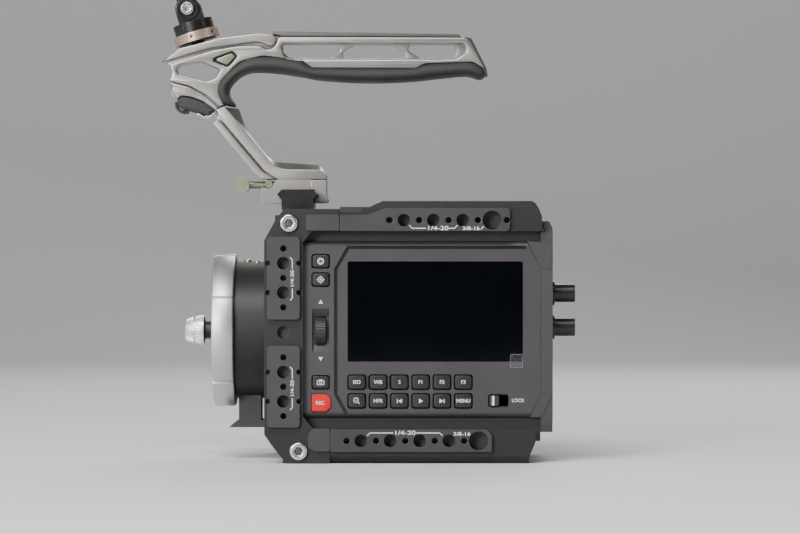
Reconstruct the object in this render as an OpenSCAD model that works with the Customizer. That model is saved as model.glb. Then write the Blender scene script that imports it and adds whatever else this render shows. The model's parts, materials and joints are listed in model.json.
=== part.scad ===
// Cinema camera rig: a box camera in a threaded cage, with a lens mount adapter and its cap, a top handle
// clamped to a cross rail, and a tilting accessory mount on the handle.
// Frame: the lens looks along -X, the display side faces -Y, +Z is up. The origin is the mouth of the
// tripod thread in the middle of the base.

/* [Camera body] */
// Half of the chassis width
chassis_half_w = 46; // [44:0.5:48]
// Thickness of the chassis walls
wall = 3; // [2.5:0.25:3.5]
// Height of the chassis floor above the base
chassis_bottom = 11.2; // [11.2:0.1:12]
// Height of the chassis top above the base
chassis_top = 120.4; // [119:0.1:120.4]
// Height of the lens axis above the base
axis_z = 67.3; // [66:0.1:69]

/* [Controls] */
// Width of a keypad key
key_w = 9.2; // [8.6:0.1:9.4]
// Height of a keypad key
key_h = 7.5; // [6.8:0.1:7.6]
// Distance between key columns
key_pitch_x = 10.9; // [10.6:0.1:11]
// Distance between key rows
key_pitch_z = 9.6; // [9.4:0.1:9.8]

/* [Cage] */
// Distance between neighbouring holes of a thread row
hole_pitch = 7.5; // [7.5:0.1:7.6]
// Wall radius of a 1/4-20 thread
quarter_r = 3.25; // [3.2:0.05:3.3]
// Wall radius of a 3/8-16 thread
three_eighths_r = 4.85; // [4.8:0.05:4.9]
// Wall radius of a locating-pin hole
locating_r = 1.6; // [1.5:0.05:1.7]

/* [Lens mount] */
// Outer radius of the adapter tube
tube_r = 36; // [35:0.5:36.5]
// Outer radius of the locking ring
ring_r = 40; // [39:0.5:41]

/* [Handle] */
// Half thickness of the aluminium handle frame
frame_half_w = 9; // [8:0.5:10]
// Half thickness of the rubber grip
grip_half_w = 13; // [12:0.5:14]
// Half width of the rail clamp
clamp_half_w = 14; // [12:0.5:16]
// Half length of the cross rail
rail_half_l = 27; // [26:0.5:30]

/* [Accessory mount] */
// Backward lean of the accessory mount
lean = 16.4; // [14:0.1:18]
// Outer radius of the knurled lock ring
collar_r = 11.9; // [11.5:0.1:12.5]

/* [Hidden] */
KEYS = ["key_iso", "key_wb", "key_shutter", "key_f1", "key_f2", "key_f3",
        "key_zoom", "key_hfr", "key_previous", "key_play", "key_next", "key_menu"];
$fn = 48;

// Camera body
front_x = -66;
rear_x = 72;
back_x = 78.2;
panel_y = -50;
panel_back = -46;
floor_z = chassis_bottom;
inner_top = chassis_top - wall;
inner_floor = floor_z + wall;
panel_top = 113.7;
panel_bottom = 23.3;
edge_r = 3;
screen_x = [-26.8, 62.9];
screen_z = [52, 103.3];
gap = 0.25;

// Controls: the middle of the first key, of the left button column and of each of its buttons
key_x0 = -22.1;
key_z0 = 41.5;
column_x = -40.6;
column_w = 9;
iris_z = 103.4;
focus_z = 94;
still_z = 41.4;
wheel_z = 67.8;
wheel_r = 7;
wheel_w = 5.2;
wheel_y = panel_y + 4.6;
lock_x = [45.3, 55.3];
lock_z = 32;
lock_w = 5;
button_h = 7;
key_proud = 0.9;
key_seat_y = -46.2;
flange_t = 0.8;
flange_w = 0.5;

// Parts inside the body
fan_x = 36.25;
fan_z = [104, 112.5];
fan_r = 18;
battery_x = [8, 77.7];
battery_y = 19.2;
battery_z = [32, 71];
battery_gap = 0.4;
board_y = [30, 31.6];
board_hole_z = [29, 103];
door_pivot = [-20, 48.2];
door_x = 22;
door_z = [34, 78];
bnc_y = -31;
bnc_z = [87, 69.5];
bnc_x = [back_x, 90.4];

// Cage
column_front = -69.4;
column_back = -49.6;
column_mid = -59.5;
pad_y = -56.5;
bar_y = [-56, -50.2];
rail_gap = 0.3;
bar_back = 73.4;
upper_pad_x = -31;
lower_pad_x = -35.8;
cage_top = 127;
ridge_top = 134.2;
row_z = 124.4;
frame_screw_at = [[-56.7, 122.8], [-51.8, 6.4]];
frame_screw_r = 4.6;
cage_screw_x = 30;
support_flange = 3;
support_screw_y = [-7.5, 7.5];
support_screw_z = 25;

// Lens mount
tube_x = [-85.4, front_x];
ring_x = [-97.4, -86];
throat_r = 27;
cap_r = 31;

// Cross rail and clamp
rail_x = -53.25;
rail_top = 140.4;
rail_widest = 10.6;
rail_bevel = 2.25;
rail_neck = 8.2;
rail_foot = 130.1;
clamp_top = 146.2;
clamp_ceiling = 140.9;
clamp_gap = 0.25;
jaw_split = -46.7;
clamp_back = -38.4;
clamp_front = -72.3;
screw_z = 143.6;
screw_r = 1.9;

// Accessory mount, in its own leaning frame
mount_at = [-106.3, 0, 218.8];
collar_z = [0.5, 5.3];
post_r = 5;
pivot_h = 17.7;
yoke_y = [5.2, 9.2];
boss_r = 6.6;
platform_z = [30.2, 33.7];
stud_r = 3.1;

// Small helpers ------------------------------------------------------------------------------------------

function unit(v) = v / norm(v);

// The arc that rounds the corner at p between the points before and after it.
function corner_arc(before, p, after, r, n) =
    let (a = unit(before - p), b = unit(after - p), half = acos(a * b) / 2,
         c = p + unit(a + b) * r / sin(half), s = p + a * r / tan(half) - c, e = p + b * r / tan(half) - c,
         from = atan2(s.y, s.x), raw = atan2(e.y, e.x) - from,
         turn = raw > 180 ? raw - 360 : raw < -180 ? raw + 360 : raw)
    [for (k = [0:n]) c + r * [cos(from + turn * k / n), sin(from + turn * k / n)]];

// An outline whose points are [x, y] or [x, y, corner radius].
function rounded(points, n = 6) =
    let (count = len(points), flat = [for (p = points) [p[0], p[1]]])
    [for (i = [0:count - 1])
        each len(points[i]) > 2
            ? corner_arc(flat[(i + count - 1) % count], flat[i], flat[(i + 1) % count], points[i][2], n)
            : [flat[i]]];

// Extrudes an outline drawn in X and Z from y0 to y1.
module along_y(y0, y1) {
    translate([0, y1, 0]) rotate([90, 0, 0]) linear_extrude(y1 - y0) children();
}

// Extrudes an outline drawn in Y and Z from x0 to x1.
module along_x(x0, x1) {
    translate([x0, 0, 0]) rotate([90, 0, 90]) linear_extrude(x1 - x0) children();
}

module outline(points, n = 6) {
    polygon(rounded(points, n));
}

// A box given by its lowest and highest corners.
module block(low, high) {
    translate(low) cube(high - low);
}

module rod_x(x0, x1, r, y = 0, z = 0) {
    translate([x0, y, z]) rotate([0, 90, 0]) cylinder(r = r, h = x1 - x0);
}

module rod_y(y0, y1, r, x = 0, z = 0) {
    translate([x, y1, z]) rotate([90, 0, 0]) cylinder(r = r, h = y1 - y0);
}

module rod_z(z0, z1, r, x = 0, y = 0) {
    translate([x, y, z0]) cylinder(r = r, h = z1 - z0);
}

// A rectangle with true round corners, centred on x, z.
module rounded_rect(x, z, w, h, r) {
    translate([x, z]) {
        square([w - 2 * r, h], center = true);
        square([w, h - 2 * r], center = true);
        for (sx = [-1, 1], sz = [-1, 1])
            translate([sx * (w / 2 - r), sz * (h / 2 - r)]) circle(r);
    }
}

// The hexagon socket of a screw head whose axis is along Y, cut from its outer face inwards.
module hex_socket_y(y0, y1, x, z, across) {
    translate([x, y1, z]) rotate([90, 0, 0]) cylinder(r = across / sqrt(3), h = y1 - y0, $fn = 6);
}

// Controls -----------------------------------------------------------------------------------------------

function key_at(i) = [key_x0 + (i % 6) * key_pitch_x, key_z0 - floor(i / 6) * key_pitch_z];

// A push button: a cap that stands proud of the panel, and a wider flange that keeps it in.
module push_button(x, z, w, h) {
    along_y(panel_y - key_proud, key_seat_y) rounded_rect(x, z, w, h, 1.3);
    along_y(key_seat_y - flange_t, key_seat_y) rounded_rect(x, z, w, h + 2 * flange_w, 1.3);
}

function record_outline(grow) = [
    [-45.2 - grow, 26.4 - grow, 0.8], [-37.6, 26.4 - grow, 0.8], [-35.4 + grow, 28.6, 0.8],
    [-35.4 + grow, 33.2, 0.8], [-37.6, 35.4 + grow, 0.8], [-45.2 - grow, 35.4 + grow, 0.8]];

module key(i) {
    color("#1d1d20") push_button(key_at(i)[0], key_at(i)[1], key_w, key_h);
}

module button_iris() {
    color("#1d1d20") push_button(column_x, iris_z, column_w, button_h);
}

module button_focus() {
    color("#1d1d20") push_button(column_x, focus_z, column_w, button_h);
}

module button_still() {
    color("#1d1d20") push_button(column_x, still_z, column_w, button_h);
}

module button_record() {
    color("#d21f1f") {
        along_y(panel_y - key_proud, key_seat_y) outline(record_outline(0), 4);
        along_y(key_seat_y - flange_t, key_seat_y) outline(record_outline(flange_w), 4);
    }
}

module scroll_wheel() {
    color("#2a2a2c") difference() {
        rod_x(column_x - wheel_w / 2, column_x + wheel_w / 2, wheel_r, wheel_y, wheel_z);
        rod_x(column_x - wheel_w, column_x + wheel_w, 1.55, wheel_y, wheel_z);
        for (a = [0:12:359])
            translate([column_x, wheel_y, wheel_z]) rotate([a, 0, 0])
                translate([-wheel_w / 2 - 1, wheel_r - 0.45, -0.35]) cube([wheel_w + 2, 1, 0.7]);
    }
}

module lock_switch() {
    x = lock_x[0] + 0.4;
    color("#c8c8ca") {
        block([x, panel_y - 0.6, lock_z - 2.7], [x + lock_w, panel_back + 0.4, lock_z + 2.7]);
        block([x + 1.9, panel_y - 1.2, lock_z - 2.4], [x + 3.1, panel_y - 0.6, lock_z + 2.4]);
        // The foot behind the panel that keeps the slider in
        block([x - 0.3, panel_back + 0.2, lock_z - 4], [x + lock_w + 0.3, panel_back + 1, lock_z + 4]);
    }
}

// Camera body --------------------------------------------------------------------------------------------

module chassis() {
    y = chassis_half_w;
    color("#3c3b3d") {
        difference() {
            block([front_x, -y, floor_z], [rear_x, y, chassis_top]);
            block([front_x + wall, -y - 1, inner_floor], [rear_x + 1, y + 1, inner_top]);
            rod_x(front_x - 1, front_x + wall + 1, throat_r, 0, axis_z);
            rod_z(floor_z - 1, inner_floor + 1, quarter_r, cage_screw_x);
            // Cooling slots over the fan
            for (i = [0:6]) block([20 + i * 5, -24, inner_top - 1], [22.5 + i * 5, 24, chassis_top + 1]);
        }
        // Side walls above and below the two side covers
        for (side = [0, 1], z = [[floor_z + 1, panel_bottom + 1], [panel_top - 1, chassis_top - 1]])
            mirror([0, side, 0]) block([front_x + 1, -y, z[0]], [rear_x, -y + 2, z[1]]);
        // The axle of the scroll wheel, and the axle of the fan
        rod_x(front_x + wall - 0.5, column_x + wheel_w / 2 + 1.2, 1.5, wheel_y, wheel_z);
        rod_z(fan_z[0] - 1, inner_top + 0.5, 1.5, fan_x);
        block([fan_x - 1.2, -25, inner_top - 1.5], [fan_x + 1.2, 25, inner_top + 1]);
    }
}

// The outline of the display side, with its cut corners at the back.
function panel_outline() = [
    [-63, panel_bottom], [66.4, panel_bottom], [71.9, 35.5], [71.9, 99.9], [64.7, panel_top], [-63, panel_top]];

// The side view of a cover, with its long edges rounded.
function cover_profile() = [
    [panel_back, panel_bottom], [panel_y, panel_bottom, edge_r], [panel_y, panel_top, edge_r],
    [panel_back, panel_top]];

module control_panel() {
    color("#454446") difference() {
        intersection() {
            along_y(panel_y, panel_back) outline(panel_outline());
            along_x(-70, 80) outline(cover_profile(), 5);
        }
        // Everything from here on is cut from the panel
        along_y(panel_y - 1, panel_y + 1.4)
            rounded_rect((screen_x[0] + screen_x[1]) / 2, (screen_z[0] + screen_z[1]) / 2,
                         screen_x[1] - screen_x[0], screen_z[1] - screen_z[0], 1);
        for (i = [0:11]) button_hole(key_at(i)[0], key_at(i)[1], key_w, key_h);
        button_hole(column_x, iris_z, column_w, button_h);
        button_hole(column_x, focus_z, column_w, button_h);
        button_hole(column_x, still_z, column_w, button_h);
        along_y(panel_y - 1, -45) outline(record_outline(gap), 4);
        along_y(key_seat_y - flange_t - gap, -45) outline(record_outline(flange_w + gap), 4);
        along_y(panel_y - 1, panel_y + 1.6)
            rounded_rect((lock_x[0] + lock_x[1]) / 2, lock_z, lock_x[1] - lock_x[0] + 0.4, 7, 1.6);
        along_y(panel_y, -45)
            rounded_rect((lock_x[0] + lock_x[1]) / 2, lock_z, lock_x[1] - lock_x[0] + 0.4, 5.9, 0.6);
        // The dished slot round the scroll wheel
        along_x(column_x - 4.4, column_x + 4.4) polygon([
            [panel_y - 1, wheel_z + 12.6], [panel_y, wheel_z + 11.4], [panel_y + 2.6, wheel_z + 7.1],
            [panel_y + 2.6, wheel_z - 7.1], [panel_y, wheel_z - 11.9], [panel_y - 1, wheel_z - 13.1]]);
        along_y(panel_y, -45) rounded_rect(column_x, wheel_z, wheel_w + 0.6, 2 * wheel_r + 0.5, 0.6);
        // Room for the axle of the scroll wheel
        rod_x(-70, column_x + wheel_w / 2 + 1.5, 1.6, wheel_y, wheel_z);
        // The groove that sets the display off from the button column
        along_y(panel_y - 1, panel_y + 1.2) polygon(groove_outline());
    }
}

// A groove of even width that runs round the display's front edge and along its top.
function groove_outline() = [
    [64.7, 109.6], [-25.9, 109.6], [-31.9, 99.2], [-31.9, 35.6], [-26.6, 25.6], [-28.2, 24.9],
    [-33.7, 35.2], [-33.7, 99.6], [-26.9, 111.3], [64.7, 111.3]];

module button_hole(x, z, w, h) {
    along_y(panel_y - 1, -45) rounded_rect(x, z, w + 2 * gap, h + 2 * gap, 1.5);
    along_y(key_seat_y - flange_t - gap, -45) rounded_rect(x, z, w + 2 * gap, h + 2 * flange_w + 2 * gap, 1.5);
}

module display_glass() {
    color("#0a0a0c") along_y(panel_y + 0.25, panel_y + 1.4)
        rounded_rect((screen_x[0] + screen_x[1]) / 2, (screen_z[0] + screen_z[1]) / 2,
                     screen_x[1] - screen_x[0] - 0.2, screen_z[1] - screen_z[0] - 0.2, 0.9);
}

// The far side of the body, with its connectors and the opening of the media door.
module right_cover() {
    px = door_pivot.x;
    py = door_pivot.y;
    color("#3c3b3d") {
        difference() {
            mirror([0, 1, 0]) intersection() {
                along_y(panel_y, panel_back) outline(panel_outline());
                along_x(-70, 80) outline(cover_profile(), 5);
            }
            block([px, 44, door_z[0]], [door_x + 0.3, 51, door_z[1]]);
            rod_z(door_z[0], door_z[1], 2.1, px, py);
            block([px - 2.1, py, door_z[0]], [px + 2.1, 51, door_z[1]]);
            for (z = [92, 104]) rod_y(48, 51, 4.4, 54, z);
            for (z = [92, 104]) rod_y(47, 51, 2.2, 40, z);
            block([20, 47.5, 88.4], [30, 51, 91.6]);
            block([2, 47.5, 86], [14, 51, 98]);
        }
        // Hinge pin of the media door
        rod_z(door_z[0] - 1, door_z[1] + 1, 0.8, px, py);
        // Contact blocks inside the round sockets
        for (z = [92, 104]) rod_y(47.9, 49.2, 2.8, 54, z);
    }
}

module media_door() {
    px = door_pivot.x;
    py = door_pivot.y;
    low = door_z[0] + 0.25;
    high = door_z[1] - 0.25;
    color("#454446") difference() {
        union() {
            rod_z(low, high, 1.8, px, py);
            block([px, py - 1.8, low], [door_x, py + 1.8, high]);
        }
        rod_z(low - 1, high + 1, 0.86, px, py);
        // Finger notch in the free edge
        rod_z(52, 60, 2.2, door_x + 0.4, 50);
    }
}

module rear_cover() {
    color("#38373a") difference() {
        union() {
            along_x(rear_x, back_x) polygon([
                [-50, 23.5], [-46, 15.8], [46, 15.8], [50, 23.5],
                [50, 118.5], [44.5, 124], [-44.5, 124], [-50, 118.5]]);
            // Corner blocks that close the cut corners of the side panels
            for (side = [-1, 1]) mirror([0, side > 0 ? 1 : 0, 0])
                along_y(panel_y - 0.4, panel_back) {
                    polygon([[72.05, 99.9], [back_x - 0.5, 99.9], [back_x - 0.5, 113], [65, 113.6]]);
                    polygon([[66.7, 23.6], [72.4, 23.6], [back_x - 0.1, 35.6], [72, 35.6]]);
                }
        }
        block([rear_x - 1, -battery_y - battery_gap, battery_z[0] - battery_gap],
              [back_x + 1, battery_y + battery_gap, battery_z[1] + battery_gap]);
        for (z = bnc_z) rod_x(rear_x - 1, back_x + 1, 4.4, bnc_y, z);
        block([back_x - 2.2, -8, 76], [back_x + 1, 8, 88]);
        for (i = [0:5]) block([rear_x - 1, 4, 94 + i * 4], [back_x + 1, 38, 96 + i * 4]);
        // Chamfer along the top of the back
        along_y(-60, 60) polygon([[76.4, 126], [76.4, 124.1], [back_x + 0.1, 120.4], [back_x + 2, 120.4], [back_x + 2, 126]]);
        // Room for the end of the cage's top
        block([rear_x - 1, -60, chassis_top - 0.1], [bar_back + 0.1, 60, 125]);
    }
}

module bnc_sockets() {
    color("#4a4a4c") for (z = bnc_z) difference() {
        union() {
            rod_x(rear_x - 6, bnc_x[0], 4.2, bnc_y, z);
            rod_x(bnc_x[0], bnc_x[0] + 1.6, 6.4, bnc_y, z);
            rod_x(bnc_x[0] + 1.6, bnc_x[1], 4.75, bnc_y, z);
            rod_y(bnc_y - 5.5, bnc_y + 5.5, 0.95, bnc_x[1] - 4.4, z);
        }
        difference() {
            rod_x(bnc_x[0] + 2, bnc_x[1] + 1, 3.6, bnc_y, z);
            rod_x(bnc_x[0], bnc_x[1] - 1.2, 1.1, bnc_y, z);
        }
    }
}

module main_board() {
    color("#1f5a38") difference() {
        block([-58, board_y[0], 20], [66, board_y[1], 112]);
        for (x = [-54, 62], z = board_hole_z) rod_y(board_y[0] - 1, board_y[1] + 1, 1.6, x, z);
    }
    // Spacers to the right cover, and the larger chips
    color("#b0b0b4") for (x = [-54, 62], z = board_hole_z) rod_y(board_y[1], 46, 2.8, x, z);
    color("#202022") for (x = [-40, -12, 16], z = [44, 84])
        block([x, board_y[1], z], [x + 16, board_y[1] + 2, z + 16]);
}

// The image sensor on its carrier, bolted behind the front wall.
module image_sensor() {
    x = front_x + wall;
    color("#2b2f4a") {
        difference() {
            block([x + 4, -30, axis_z - 30], [x + 6, 29, axis_z + 30]);
            for (y = [-28, 27], z = [-28, 28]) rod_x(x, x + 7, 1.5, y, axis_z + z);
        }
        block([x + 2, -18, axis_z - 12], [x + 4, 18, axis_z + 12]);
        for (y = [-26, 25], z = [-24, 24]) rod_x(x, x + 4, 2, y, axis_z + z);
    }
}

module heat_sink() {
    color("#a9abad") {
        block([-54, -26, 36], [-51, 26, 100]);
        for (i = [0:9]) block([-51, -25 + i * 5.3, 36], [-36, -23.2 + i * 5.3, 100]);
    }
    // Heat pipe from the sensor's carrier
    color("#b87333") rod_x(front_x + wall + 6, -54, 3, 0, axis_z);
}

module fan_rotor() {
    color("#222224") difference() {
        union() {
            rod_z(fan_z[0], fan_z[1], 7, fan_x);
            for (a = [0:360 / 7:359]) translate([fan_x, 0, fan_z[0] + 1]) rotate([0, 0, a])
                translate([6, 0, 3]) rotate([38, 0, 0]) translate([0, -4.5, -0.6]) cube([fan_r - 6, 9, 1.2]);
        }
        rod_z(fan_z[0] - 1, fan_z[1] + 1, 1.55, fan_x);
    }
}

module battery() {
    color("#2c2c2e") difference() {
        block([battery_x[0], -battery_y, battery_z[0]], [battery_x[1], battery_y, battery_z[1]]);
        // Finger grip on the end that faces out
        for (i = [0:4]) block([battery_x[1] - 0.8, -12, 45 + i * 3], [battery_x[1] + 1, 12, 46.4 + i * 3]);
    }
}

// The bay that holds the battery, open at the back.
module battery_bay() {
    y = battery_y + battery_gap;
    color("#29292b") difference() {
        block([battery_x[0] - 3, -y - 1.6, battery_z[0] - 2], [rear_x, y + 1.6, battery_z[1] + 2]);
        block([battery_x[0] - battery_gap, -y, battery_z[0] - battery_gap],
              [rear_x + 1, y, battery_z[1] + battery_gap]);
    }
    // Feet on the chassis floor
    color("#29292b") for (x = [12, 60])
        block([x, -14, inner_floor], [x + 6, 14, battery_z[0] - 2]);
}

module battery_latch() {
    color("#b3261e") {
        block([back_x - 1.9, -7.7, 76.3], [back_x - 0.3, 7.7, 83]);
        for (i = [0:2]) block([back_x - 0.3, -5, 77.5 + i * 1.8], [back_x + 0.4, 5, 78.3 + i * 1.8]);
    }
}

// Lens mount ---------------------------------------------------------------------------------------------

module mount_tube() {
    color("#1a1a1c") difference() {
        union() {
            rod_x(tube_x[0], tube_x[1], tube_r, 0, axis_z);
            rod_x(ring_x[0] + 1.4, tube_x[0] + 0.5, 33, 0, axis_z);
        }
        rod_x(ring_x[0] - 1, tube_x[1] + 1, throat_r, 0, axis_z);
        rod_x(ring_x[0] - 1, ring_x[0] + 6, cap_r + 0.3, 0, axis_z);
        // Seats of the index pins
        rod_z(axis_z + tube_r - 1, axis_z + tube_r + 3, 2, -80.2, 0);
        rod_z(axis_z + tube_r - 1, axis_z + tube_r + 3, 1.5, -75, -5);
    }
}

// The ring that turns to clamp a lens, with grip grooves and three broad lobes.
module locking_ring() {
    color("#c9cacb") difference() {
        rod_x(ring_x[0], ring_x[1], ring_r, 0, axis_z);
        rod_x(ring_x[0] - 1, ring_x[1] + 1, 33.05, 0, axis_z);
        for (i = [0:2]) translate([0, 0, axis_z]) rotate([i * 120, 0, 0]) {
            groove_at(24.5, 1.3);
            groove_at(-41.6, 0.6);
        }
    }
}

// A flat-bottomed notch along the ring, at an angle up from the display side.
module groove_at(angle, depth) {
    rotate([-angle, 0, 0]) translate([ring_x[0] - 1, -ring_r - 1, -1]) cube([20, 1 + depth, 2]);
}

module mount_cap() {
    color("#1b1b1d") {
        difference() {
            rod_x(ring_x[0] + 0.6, ring_x[0] + 5.8, cap_r, 0, axis_z);
            rod_x(ring_x[0] - 1, ring_x[0] + 2, 26, 0, axis_z);
        }
        rod_x(ring_x[0] - 1.6, ring_x[0] + 4, 9, 0, axis_z);
        rod_x(-102.5, ring_x[0], 4.6, 0, axis_z);
    }
}

module cap_knob() {
    color("#d9dadb") difference() {
        translate([0, 0, axis_z]) rotate([0, -90, 0]) rotate_extrude() polygon([
            [0, 102.5], [5.6, 102.5], [7.7, 103.2], [7.7, 105], [7.2, 107.6], [6.6, 107.8], [6.6, 108.3],
            [7, 108.5], [6, 112.6], [5.4, 113.2], [0, 113.2]]);
        rod_x(-120, -112.4, 2.2, 0, axis_z);
    }
}

// The two index pins on top of the adapter tube.
module mount_pins() {
    color("#b08d3c") rod_z(axis_z + tube_r - 1, axis_z + tube_r + 1.4, 2, -80.2, 0);
    color("#c9cacb") rod_z(axis_z + tube_r - 1, axis_z + tube_r + 0.7, 1.5, -75, -5);
}

// Cage ---------------------------------------------------------------------------------------------------

function column_outline() = [
    [column_front, 14.9], [-65.9, 9.8], [-58.2, 0], [lower_pad_x, 0], [lower_pad_x, 18], [-44.6, 18],
    [column_back, 24], [column_back, 113], [-44.6, 119], [upper_pad_x, 119], [upper_pad_x, 130.1],
    [-59.2, 130.1], [-62.9, 125.7], [-68.3, 116], [column_front, 113.7]];

// A blind hole drilled into the display side's face.
module side_hole(x, z, r, depth) {
    rod_y(-60, pad_y + depth, r, x, z);
}

module column() {
    difference() {
        union() {
            along_y(-54, bar_y[1]) polygon(column_outline());
            along_y(bar_y[0], -53.9) outline([[-47.9, 119.1], [upper_pad_x, 119.1, 0.8],
                                              [upper_pad_x, 127.2, 1.6], [-47.9, 127.2]], 4);
            along_y(bar_y[0], -53.9) outline([[-46.9, 8.4], [-42.6, 6.4], [lower_pad_x, 6.4, 0.8],
                                              [lower_pad_x, 18, 1.2], [-44.6, 18], [-46.9, 15]], 4);
            along_y(pad_y, -53.9) rounded_rect(column_mid, 94.8, 16.6, 42.2, 2);
            along_y(pad_y, -53.9) rounded_rect(column_mid, 39.4, 16.6, 41.6, 2);
        }
        for (z = [109.9, 94.9, 79.9, 54.4, 39.4, 24.4]) side_hole(column_mid, z, locating_r, 8);
        for (z = [102.4, 87.4, 67.1, 46.9, 31.9]) side_hole(column_mid, z, quarter_r, 8);
        // Small holes that break both edges of the raised pads
        for (z = [102.4, 87.4, 46.9, 31.9], side = [-1, 1])
            side_hole(column_mid + side * 7.9, z, 1.35, 5);
        for (at = frame_screw_at) {
            rod_y(-60, -53.4, frame_screw_r + 0.3, at[0], at[1]);
            rod_y(-60, -49, 2.05, at[0], at[1]);
        }
    }
}

module left_column() {
    color("#232325") column();
}

module right_column() {
    color("#232325") mirror([0, 1, 0]) column();
}

module frame_screws() {
    color("#d4d5d6") for (side = [0, 1], at = frame_screw_at) mirror([0, side, 0]) difference() {
        union() {
            rod_y(-56.2, -53.4, frame_screw_r, at[0], at[1]);
            rod_y(-53.5, -44, 2, at[0], at[1]);
        }
        hex_socket_y(-58, -54.2, at[0], at[1], 4);
    }
}

// A thread row in a side bar: locating holes between 1/4-20 holes, and one 3/8-16 hole at the back.
module thread_row(x0, z, quarters) {
    for (i = [0:quarters]) side_hole(x0 - hole_pitch * 0.97 + i * 2 * hole_pitch, z, locating_r, 8);
    for (i = [0:quarters - 1]) side_hole(x0 + i * 2 * hole_pitch, z, quarter_r, 8);
    side_hole(x0 + quarters * 2 * hole_pitch, z, three_eighths_r, 8);
}

// One half of the top plate: floor, raised side bar and the narrow tongue between the columns.
module top_half() {
    difference() {
        union() {
            along_x(upper_pad_x + rail_gap, bar_back) polygon([
                [0.01, chassis_top], [0.01, cage_top], [-44, cage_top], [-48, 131.2], [-51.5, 131.2],
                [-53.4, 128.6], [-53.4, 118.9], [-50.3, 118.9], [-50.3, chassis_top]]);
            intersection() {
                along_x(-22, 71.2) polygon([[-47, 130], [-48.6, ridge_top], [-51, ridge_top], [-53.4, 131.2],
                                          [-53.4, 124], [-50, 124]]);
                along_y(-60, -40) polygon([[-20, 120], [-20, 130.4], [-16, 131], [-9, ridge_top], [67.6, ridge_top],
                                           [69.2, 133.2], [71.2, 129.9], [71.2, 120]]);
            }
            // The raised face of the bar
            along_y(bar_y[0], -50.2) outline([
                [upper_pad_x + rail_gap, 118.9, 0.6], [56, 118.9, 2], [56, 130.6, 2], [-7.5, 130.6],
                [-16.5, 127.1], [upper_pad_x + rail_gap, 127.1, 0.6]], 4);
            block([-64, bar_y[1], chassis_top], [-60, 0.01, 127]);
            block([-60.1, bar_y[1] + 0.05, chassis_top], [upper_pad_x + rail_gap + 0.1, 0.01, 130.1]);
        }
        // Cut corner at the back
        along_y(-60, 1) polygon([[69.2, 133.2], [71.2, 129.9], [72.6, 126.4], [72.6, 120], [75, 120], [75, 136], [68, 136]]);
        thread_row(2, row_z, 3);
        for (i = [0:1]) side_hole(54.5 - i * 60.1, row_z, locating_r, 8);
        // Windows that save weight and let the fan breathe
        for (i = [0:2]) block([-24 + i * 28, -38, 119], [-1 + i * 28, -14, 135]);
        rod_y(-60, -44.5, 2.05, frame_screw_at[0][0], frame_screw_at[0][1]);
        rod_z(127.8, 131, 2.02, rail_x, -18);
        for (x = [-22, 2, 26, 50]) rod_z(119, 135, quarter_r, x, -6.5);
        for (x = [-14, 10, 34]) rod_z(119, 135, locating_r, x, -6.5);
    }
}

module top_plate() {
    color("#232325") {
        top_half();
        mirror([0, 1, 0]) top_half();
    }
}

module bottom_half() {
    difference() {
        union() {
            along_x(lower_pad_x + rail_gap, 69.2) polygon([
                [0.01, 0], [0.01, floor_z], [-46, floor_z], [-50.4, 17.6], [-53.4, 17.6], [-53.4, 3.8],
                [-50.4, 0]]);
            // The raised face of the bar
            along_y(bar_y[0], -50.4) outline([
                [lower_pad_x + rail_gap, 6.1, 0.6], [46.8, 6.1, 0.8], [46.8, 14.8], [44, 17.6],
                [lower_pad_x + rail_gap, 17.6, 1.2]], 4);
            block([-60, bar_y[1], 0], [lower_pad_x + rail_gap + 0.1, 0.01, floor_z]);
        }
        thread_row(-20, 11.8, 4);
        // Shallow pockets that save weight
        for (x = [-44, -16, 36]) block([x, -36, -1], [x + 24, -14, 1.5]);
        rod_y(-60, -44.5, 2.05, frame_screw_at[1][0], frame_screw_at[1][1]);
        // Cut corner at the back
        along_y(-60, 1) polygon([[66, -1], [66, 3.2], [69.3, 11], [72, 11], [72, -1]]);
    }
}

module bottom_plate() {
    color("#232325") difference() {
        union() {
            bottom_half();
            mirror([0, 1, 0]) bottom_half();
        }
        rod_z(-1, 9, quarter_r, 0);
        rod_z(-1, 9, three_eighths_r, 11.9);
        rod_z(-1, 9, 2.6, -8);
        rod_z(-1, floor_z + 1, quarter_r, cage_screw_x);
        rod_z(-1, 3.5, 6.3, cage_screw_x);
        for (y = [-44, 44], x = [-28, 16, 60]) rod_z(-1, 9, 2.1, x, y);
    }
}

// The rail that the handle clamps to, with its two screw holes.
module cross_rail() {
    w = rail_widest;
    top = w - rail_bevel;
    mid_z = rail_top - rail_bevel;
    low_z = mid_z - (w - rail_neck);
    color("#1b1b1d") difference() {
        translate([rail_x, 0, 0]) along_y(-rail_half_l, rail_half_l) polygon([
            [-rail_neck, rail_foot], [rail_neck, rail_foot], [rail_neck, low_z], [w, mid_z], [top, rail_top],
            [-top, rail_top], [-w, mid_z], [-rail_neck, low_z]]);
        for (y = [-18, 18]) rod_z(125, 145, 2.1, rail_x, y);
        for (y = [-18, 18]) rod_z(rail_top - 4, 145, 3.9, rail_x, y);
        for (y = [-9, 0, 9]) rod_z(rail_top - 1.2, 145, 1.6, rail_x, y);
    }
}

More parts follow.
